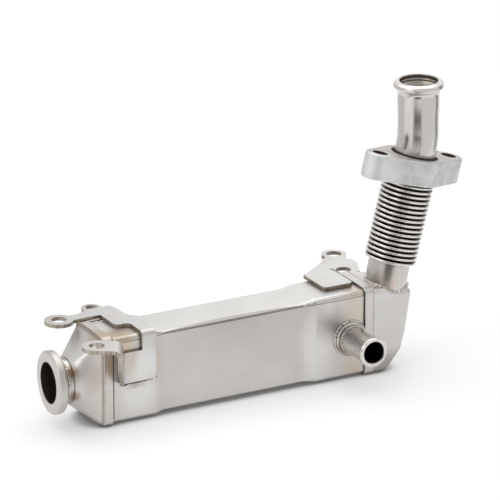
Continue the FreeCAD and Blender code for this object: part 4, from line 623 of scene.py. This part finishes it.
seamMetal = metalFinish("seamMetal", seamLook)
creaseMetal = metalFinish("creaseMetal", dict(
    seamLook, colour=(0.60, 0.55, 0.50), patchColour=(0.50, 0.43, 0.36), tints=[
        # brown at the top of the crease: heat tint, with painted shade that holds down a lamp
        # highlight
        {"at": (0.0301, 0.004, 0.0305), "reach": 0.022, "amount": 0.9,
         "colour": (0.40, 0.31, 0.23)}]))
brazeAndShadeMetal = metalFinish("brazeAndShadeMetal", brazeAndShadeLook)
seamAndShadeLineMetal = metalFinish("seamAndShadeLineMetal", seamAndShadeLineLook)
wideHoop = (0.0193, 0.03035, 0.0046)  # half width, half height and corner of the skirt and tank
shellHoop = (0.0177, 0.02875, 0.0030)  # the same of the shell's ends
rods = {
    "front_seam": {"places": [(0.0668, -0.01715, 0.0275), (0.0685, -0.01715, 0.0275),
                              (0.0735, -0.0166, 0.0258), (0.1755, -0.0166, 0.0258)],
                   "thick": 0.00018, "lumps": 0.5, "slot": "shell_cover", "metal": seamAndShadeLineMetal},
    "front_seam_ramp": {"places": [(0.1755, -0.0166, 0.0258), (0.1795, -0.0169, 0.0262),
                                   (0.1855, -0.0173, 0.0273), (0.2200, -0.0173, 0.0273)],
                        "thick": 0.00055, "lumps": 1.1, "slot": "shell_cover", "metal": seamMetal},
    "plate_side_weld": {"places": [(0.0670, -0.0181, 0.0000), (0.0670, -0.0181, 0.0235),
                                   (0.0670, -0.0172, 0.0270)],
                        "thick": 0.00045, "lumps": 0.9, "slot": "inlet_bracket",
                        "metal": seamMetal},
    "rear_seam": {"places": [(0.0370, 0.01715, 0.0275), (0.0685, 0.01715, 0.0275),
                             (0.0735, 0.0166, 0.0258), (0.1755, 0.0166, 0.0258),
                             (0.1855, 0.0173, 0.0273), (0.2200, 0.0173, 0.0273)],
                  "thick": 0.00035, "lumps": 0.5, "slot": "shell_cover", "metal": seamMetal},
    "tank_joint": {"places": overTheTop(0.2269, *wideHoop),
                   "thick": 0.00030, "lumps": 0.15, "slot": "outlet_tank", "metal": seamMetal},
    "skirt_crease": {"places": overTheTop(0.0301, *wideHoop),
                     "thick": 0.00060, "lumps": 0.2, "slot": "inlet_cone", "metal": creaseMetal},
    "collar_braze": {"places": overTheTop(0.2205, *shellHoop),
                     "thick": 0.00022, "lumps": 0.5, "slot": "outlet_collar", "metal": brazeAndShadeMetal},
    "skirt_braze": {"places": overTheTop(0.0374, *shellHoop),
                    "thick": 0.00032, "lumps": 0.5, "slot": "inlet_cone", "metal": brazeAndShadeMetal},
    "rear_fillet": {"places": [(0.0368, 0.0186, 0.0285), (0.0600, 0.0186, 0.0285)],
                    "thick": 0.00090, "lumps": 0.4, "slot": "inlet_bracket", "metal": creaseMetal},
    "plate_braze": {"places": [(0.0440, -0.0182, -0.0031), (0.0560, -0.0182, -0.0029),
                               (0.0680, -0.0178, -0.0022)],
                    "thick": 0.00080, "lumps": 0.8, "slot": "inlet_bracket", "metal": brazeAndShadeMetal},
}
for rodName, rod in rods.items():
    finishPiece(makeRod(rod), rodName, rod["metal"])
print("seams made")


# Floor, light and camera

viewTurn = math.radians(28.754)  # of the camera, from square on to the shell's side
viewAcross = Vector((math.cos(viewTurn), -math.sin(viewTurn), 0))
viewAlong = Vector((math.sin(viewTurn), math.cos(viewTurn), 0))
# the last three values set a painted shadow that darkens the floor near the object
stageSize = {"floor": 6.0, "middle": 0.15, "level": -0.03035, "glow": 0.30, "grey": 0.84,
             "paintedContactShadow": 0.012, "dark": 0.30, "paintedShadowSpread": (0.1, 0.75)}


def addPlain(name, mesh, material):
    data = bpy.data.meshes.new(name)
    mesh.to_mesh(data)
    mesh.free()
    data.materials.append(material)
    thing = bpy.data.objects.new(name, data)
    bpy.context.scene.collection.objects.link(thing)
    return thing


def makeFloor(s):
    mesh = bmesh.new()
    bmesh.ops.create_grid(mesh, x_segments=1, y_segments=1, size=s["floor"])
    bmesh.ops.translate(mesh, vec=(s["middle"], 0, s["level"]), verts=mesh.verts)
    material = bpy.data.materials.new("paperFloor")
    material.use_nodes = True
    tree = material.node_tree
    tree.nodes.clear()
    path = putNode(tree, "LightPath")
    direct = calc(tree, "MAXIMUM", path.outputs["Is Camera Ray"], path.outputs["Is Glossy Ray"])
    seen = calc(tree, "MAXIMUM", direct, path.outputs["Is Transmission Ray"])
    # painted shadow: ambient occlusion darkens the floor's glow and grey near the object
    nearby = putNode(tree, "AmbientOcclusion", {"Distance": s["paintedContactShadow"]}, samples=8).outputs["AO"]
    paintedContactShadow = rangeOf(tree, nearby, *s["paintedShadowSpread"], s["dark"], 1.0)
    strength = calc(tree, "MULTIPLY", calc(tree, "MULTIPLY", seen, s["glow"]), paintedContactShadow)
    glow = putNode(tree, "Emission", {"Color": (1, 1, 1, 1), "Strength": strength})
    tone = calc(tree, "MULTIPLY", paintedContactShadow, s["grey"])
    paper = putNode(tree, "BsdfDiffuse", {"Color": putNode(tree, "CombineColor", {
        0: tone, 1: tone, 2: tone}).outputs[0]})
    both = putNode(tree, "AddShader", {0: glow.outputs[0], 1: paper.outputs[0]})
    putNode(tree, "OutputMaterial", {"Surface": both.outputs[0]})
    addPlain("studio_floor", mesh, material)


makeFloor(stageSize)

# the room: white behind the object, dimmer overhead and on the camera's side
roomSize = {"soft": 0.55, "behind": 1.06, "front": 0.70, "depth": (-0.5, 0.5),
            "overhead": 0.35, "height": (0.7, 0.95), "open": 2.0}
world = bpy.data.worlds.new("softStudio")
bpy.context.scene.world = world
world.use_nodes = True
worldTree = world.node_tree
worldTree.nodes.clear()
worldWay = putNode(worldTree, "TexCoord").outputs["Generated"]
worldDepth = putNode(worldTree, "VectorMath", {0: worldWay, 1: tuple(viewAlong)},
                     operation="DOT_PRODUCT")
worldBack = rangeOf(worldTree, worldDepth.outputs["Value"], *roomSize["depth"],
                    roomSize["front"], roomSize["behind"])
worldHigh = rangeOf(worldTree, axisOf(worldTree, worldWay, 2), *roomSize["height"],
                    roomSize["open"], roomSize["overhead"])
worldGloss = calc(worldTree, "MINIMUM", worldBack, worldHigh)
worldPath = putNode(worldTree, "LightPath")
worldSeen = calc(worldTree, "MAXIMUM", worldPath.outputs["Is Camera Ray"],
                 worldPath.outputs["Is Transmission Ray"])
worldPlain = calc(worldTree, "MAXIMUM", worldSeen, roomSize["soft"])
worldShiny = calc(worldTree, "MULTIPLY", worldGloss, worldPath.outputs["Is Glossy Ray"])
worldGlow = putNode(worldTree, "Background", {"Color": (1, 1, 1, 1), "Strength": calc(
    worldTree, "MAXIMUM", worldPlain, worldShiny)})
putNode(worldTree, "OutputWorld", {"Surface": worldGlow.outputs[0]})

lamps = {
    "topSoftbox": {"at": (0.20, 0.35, 1.40), "aim": (0.15, 0, 0.0), "size": (2.2, 1.6),
                   "power": 10.5},
    "leftSoftbox": {"at": (-1.2, -0.3, 0.9), "aim": (0.13, 0, 0.03), "size": (0.9, 0.9),
                    "power": 2.5},
}
for lampName, lamp in lamps.items():
    light = bpy.data.lights.new(lampName, "AREA")
    light.shape = "RECTANGLE"
    light.size, light.size_y = lamp["size"]
    light.energy = lamp["power"]
    holder = bpy.data.objects.new(lampName, light)
    holder.location = lamp["at"]
    holder.rotation_mode = "QUATERNION"
    holder.rotation_quaternion = (Vector(lamp["aim"]) - Vector(lamp["at"])).to_track_quat("-Z", "Y")
    bpy.context.scene.collection.objects.link(holder)

# cards that stand round the outlet pipe as flags in a studio, seen only in reflections; round is
# the angle from the way to the camera, positive to its right, and heights are above the floor
tallCard = {"from": 0.002, "to": 0.36}
cards = {
    "lowDarkCard": {"round": -6, "away": 0.15, "wide": 0.11, "from": 0.024, "to": 0.120,
                    "level": 0.01},
    "darkCard": dict(tallCard, round=-15, away=0.26, wide=0.13, level=0.65),
    "leftCard": dict(tallCard, round=-114, away=0.34, wide=0.48, level=0.74),
    "rightCard": dict(tallCard, round=54, away=0.34, wide=0.72, level=0.80),
    "thinCard": dict(tallCard, round=114, away=0.30, wide=0.12, level=0.30),
}
for cardName, card in cards.items():
    cardMaterial = bpy.data.materials.new(cardName)
    cardMaterial.use_nodes = True
    cardTree = cardMaterial.node_tree
    cardTree.nodes.clear()
    cardGlow = putNode(cardTree, "Emission", {"Color": (1, 1, 1, 1), "Strength": card["level"]})
    putNode(cardTree, "OutputMaterial", {"Surface": cardGlow.outputs[0]})
    swing = math.radians(card["round"])
    way = viewAcross * math.sin(swing) - viewAlong * math.cos(swing)
    cardMesh = bmesh.new()
    bmesh.ops.create_grid(cardMesh, x_segments=1, y_segments=1, size=0.5)
    bmesh.ops.scale(cardMesh, vec=(card["wide"], card["to"] - card["from"], 1),
                    verts=cardMesh.verts)
    bmesh.ops.rotate(cardMesh, cent=(0, 0, 0), matrix=Matrix.Rotation(math.pi / 2, 3, "X"),
                     verts=cardMesh.verts)
    facing = Matrix.Rotation(math.atan2(way.y, way.x) + math.pi / 2, 3, "Z")
    bmesh.ops.rotate(cardMesh, cent=(0, 0, 0), matrix=facing, verts=cardMesh.verts)
    spot = Vector((*pipeSize["at"], 0)) + way * card["away"]
    bmesh.ops.translate(cardMesh, verts=cardMesh.verts,
                        vec=(spot.x, spot.y, stageSize["level"] + (card["from"] + card["to"]) / 2))
    cardObject = addPlain(cardName, cardMesh, cardMaterial)
    cardObject.visible_camera = False
    cardObject.visible_diffuse = False
    cardObject.visible_shadow = False

cameraSize = {"at": (-1.4420, -2.8936, 1.2665), "above": 20.015, "lens": 393.98, "sensor": 36.0,
              "reach": 50.0}
cameraData = bpy.data.cameras.new("photoCamera")
cameraData.lens = cameraSize["lens"]
cameraData.sensor_width = cameraSize["sensor"]
cameraData.clip_end = cameraSize["reach"]
camera = bpy.data.objects.new("photoCamera", cameraData)
camera.location = cameraSize["at"]
camera.rotation_euler = (math.radians(90 - cameraSize["above"]), 0, -viewTurn)
bpy.context.scene.collection.objects.link(camera)
bpy.context.scene.camera = camera
bpy.context.scene.view_settings.view_transform = "Standard"
print("studio and camera set")
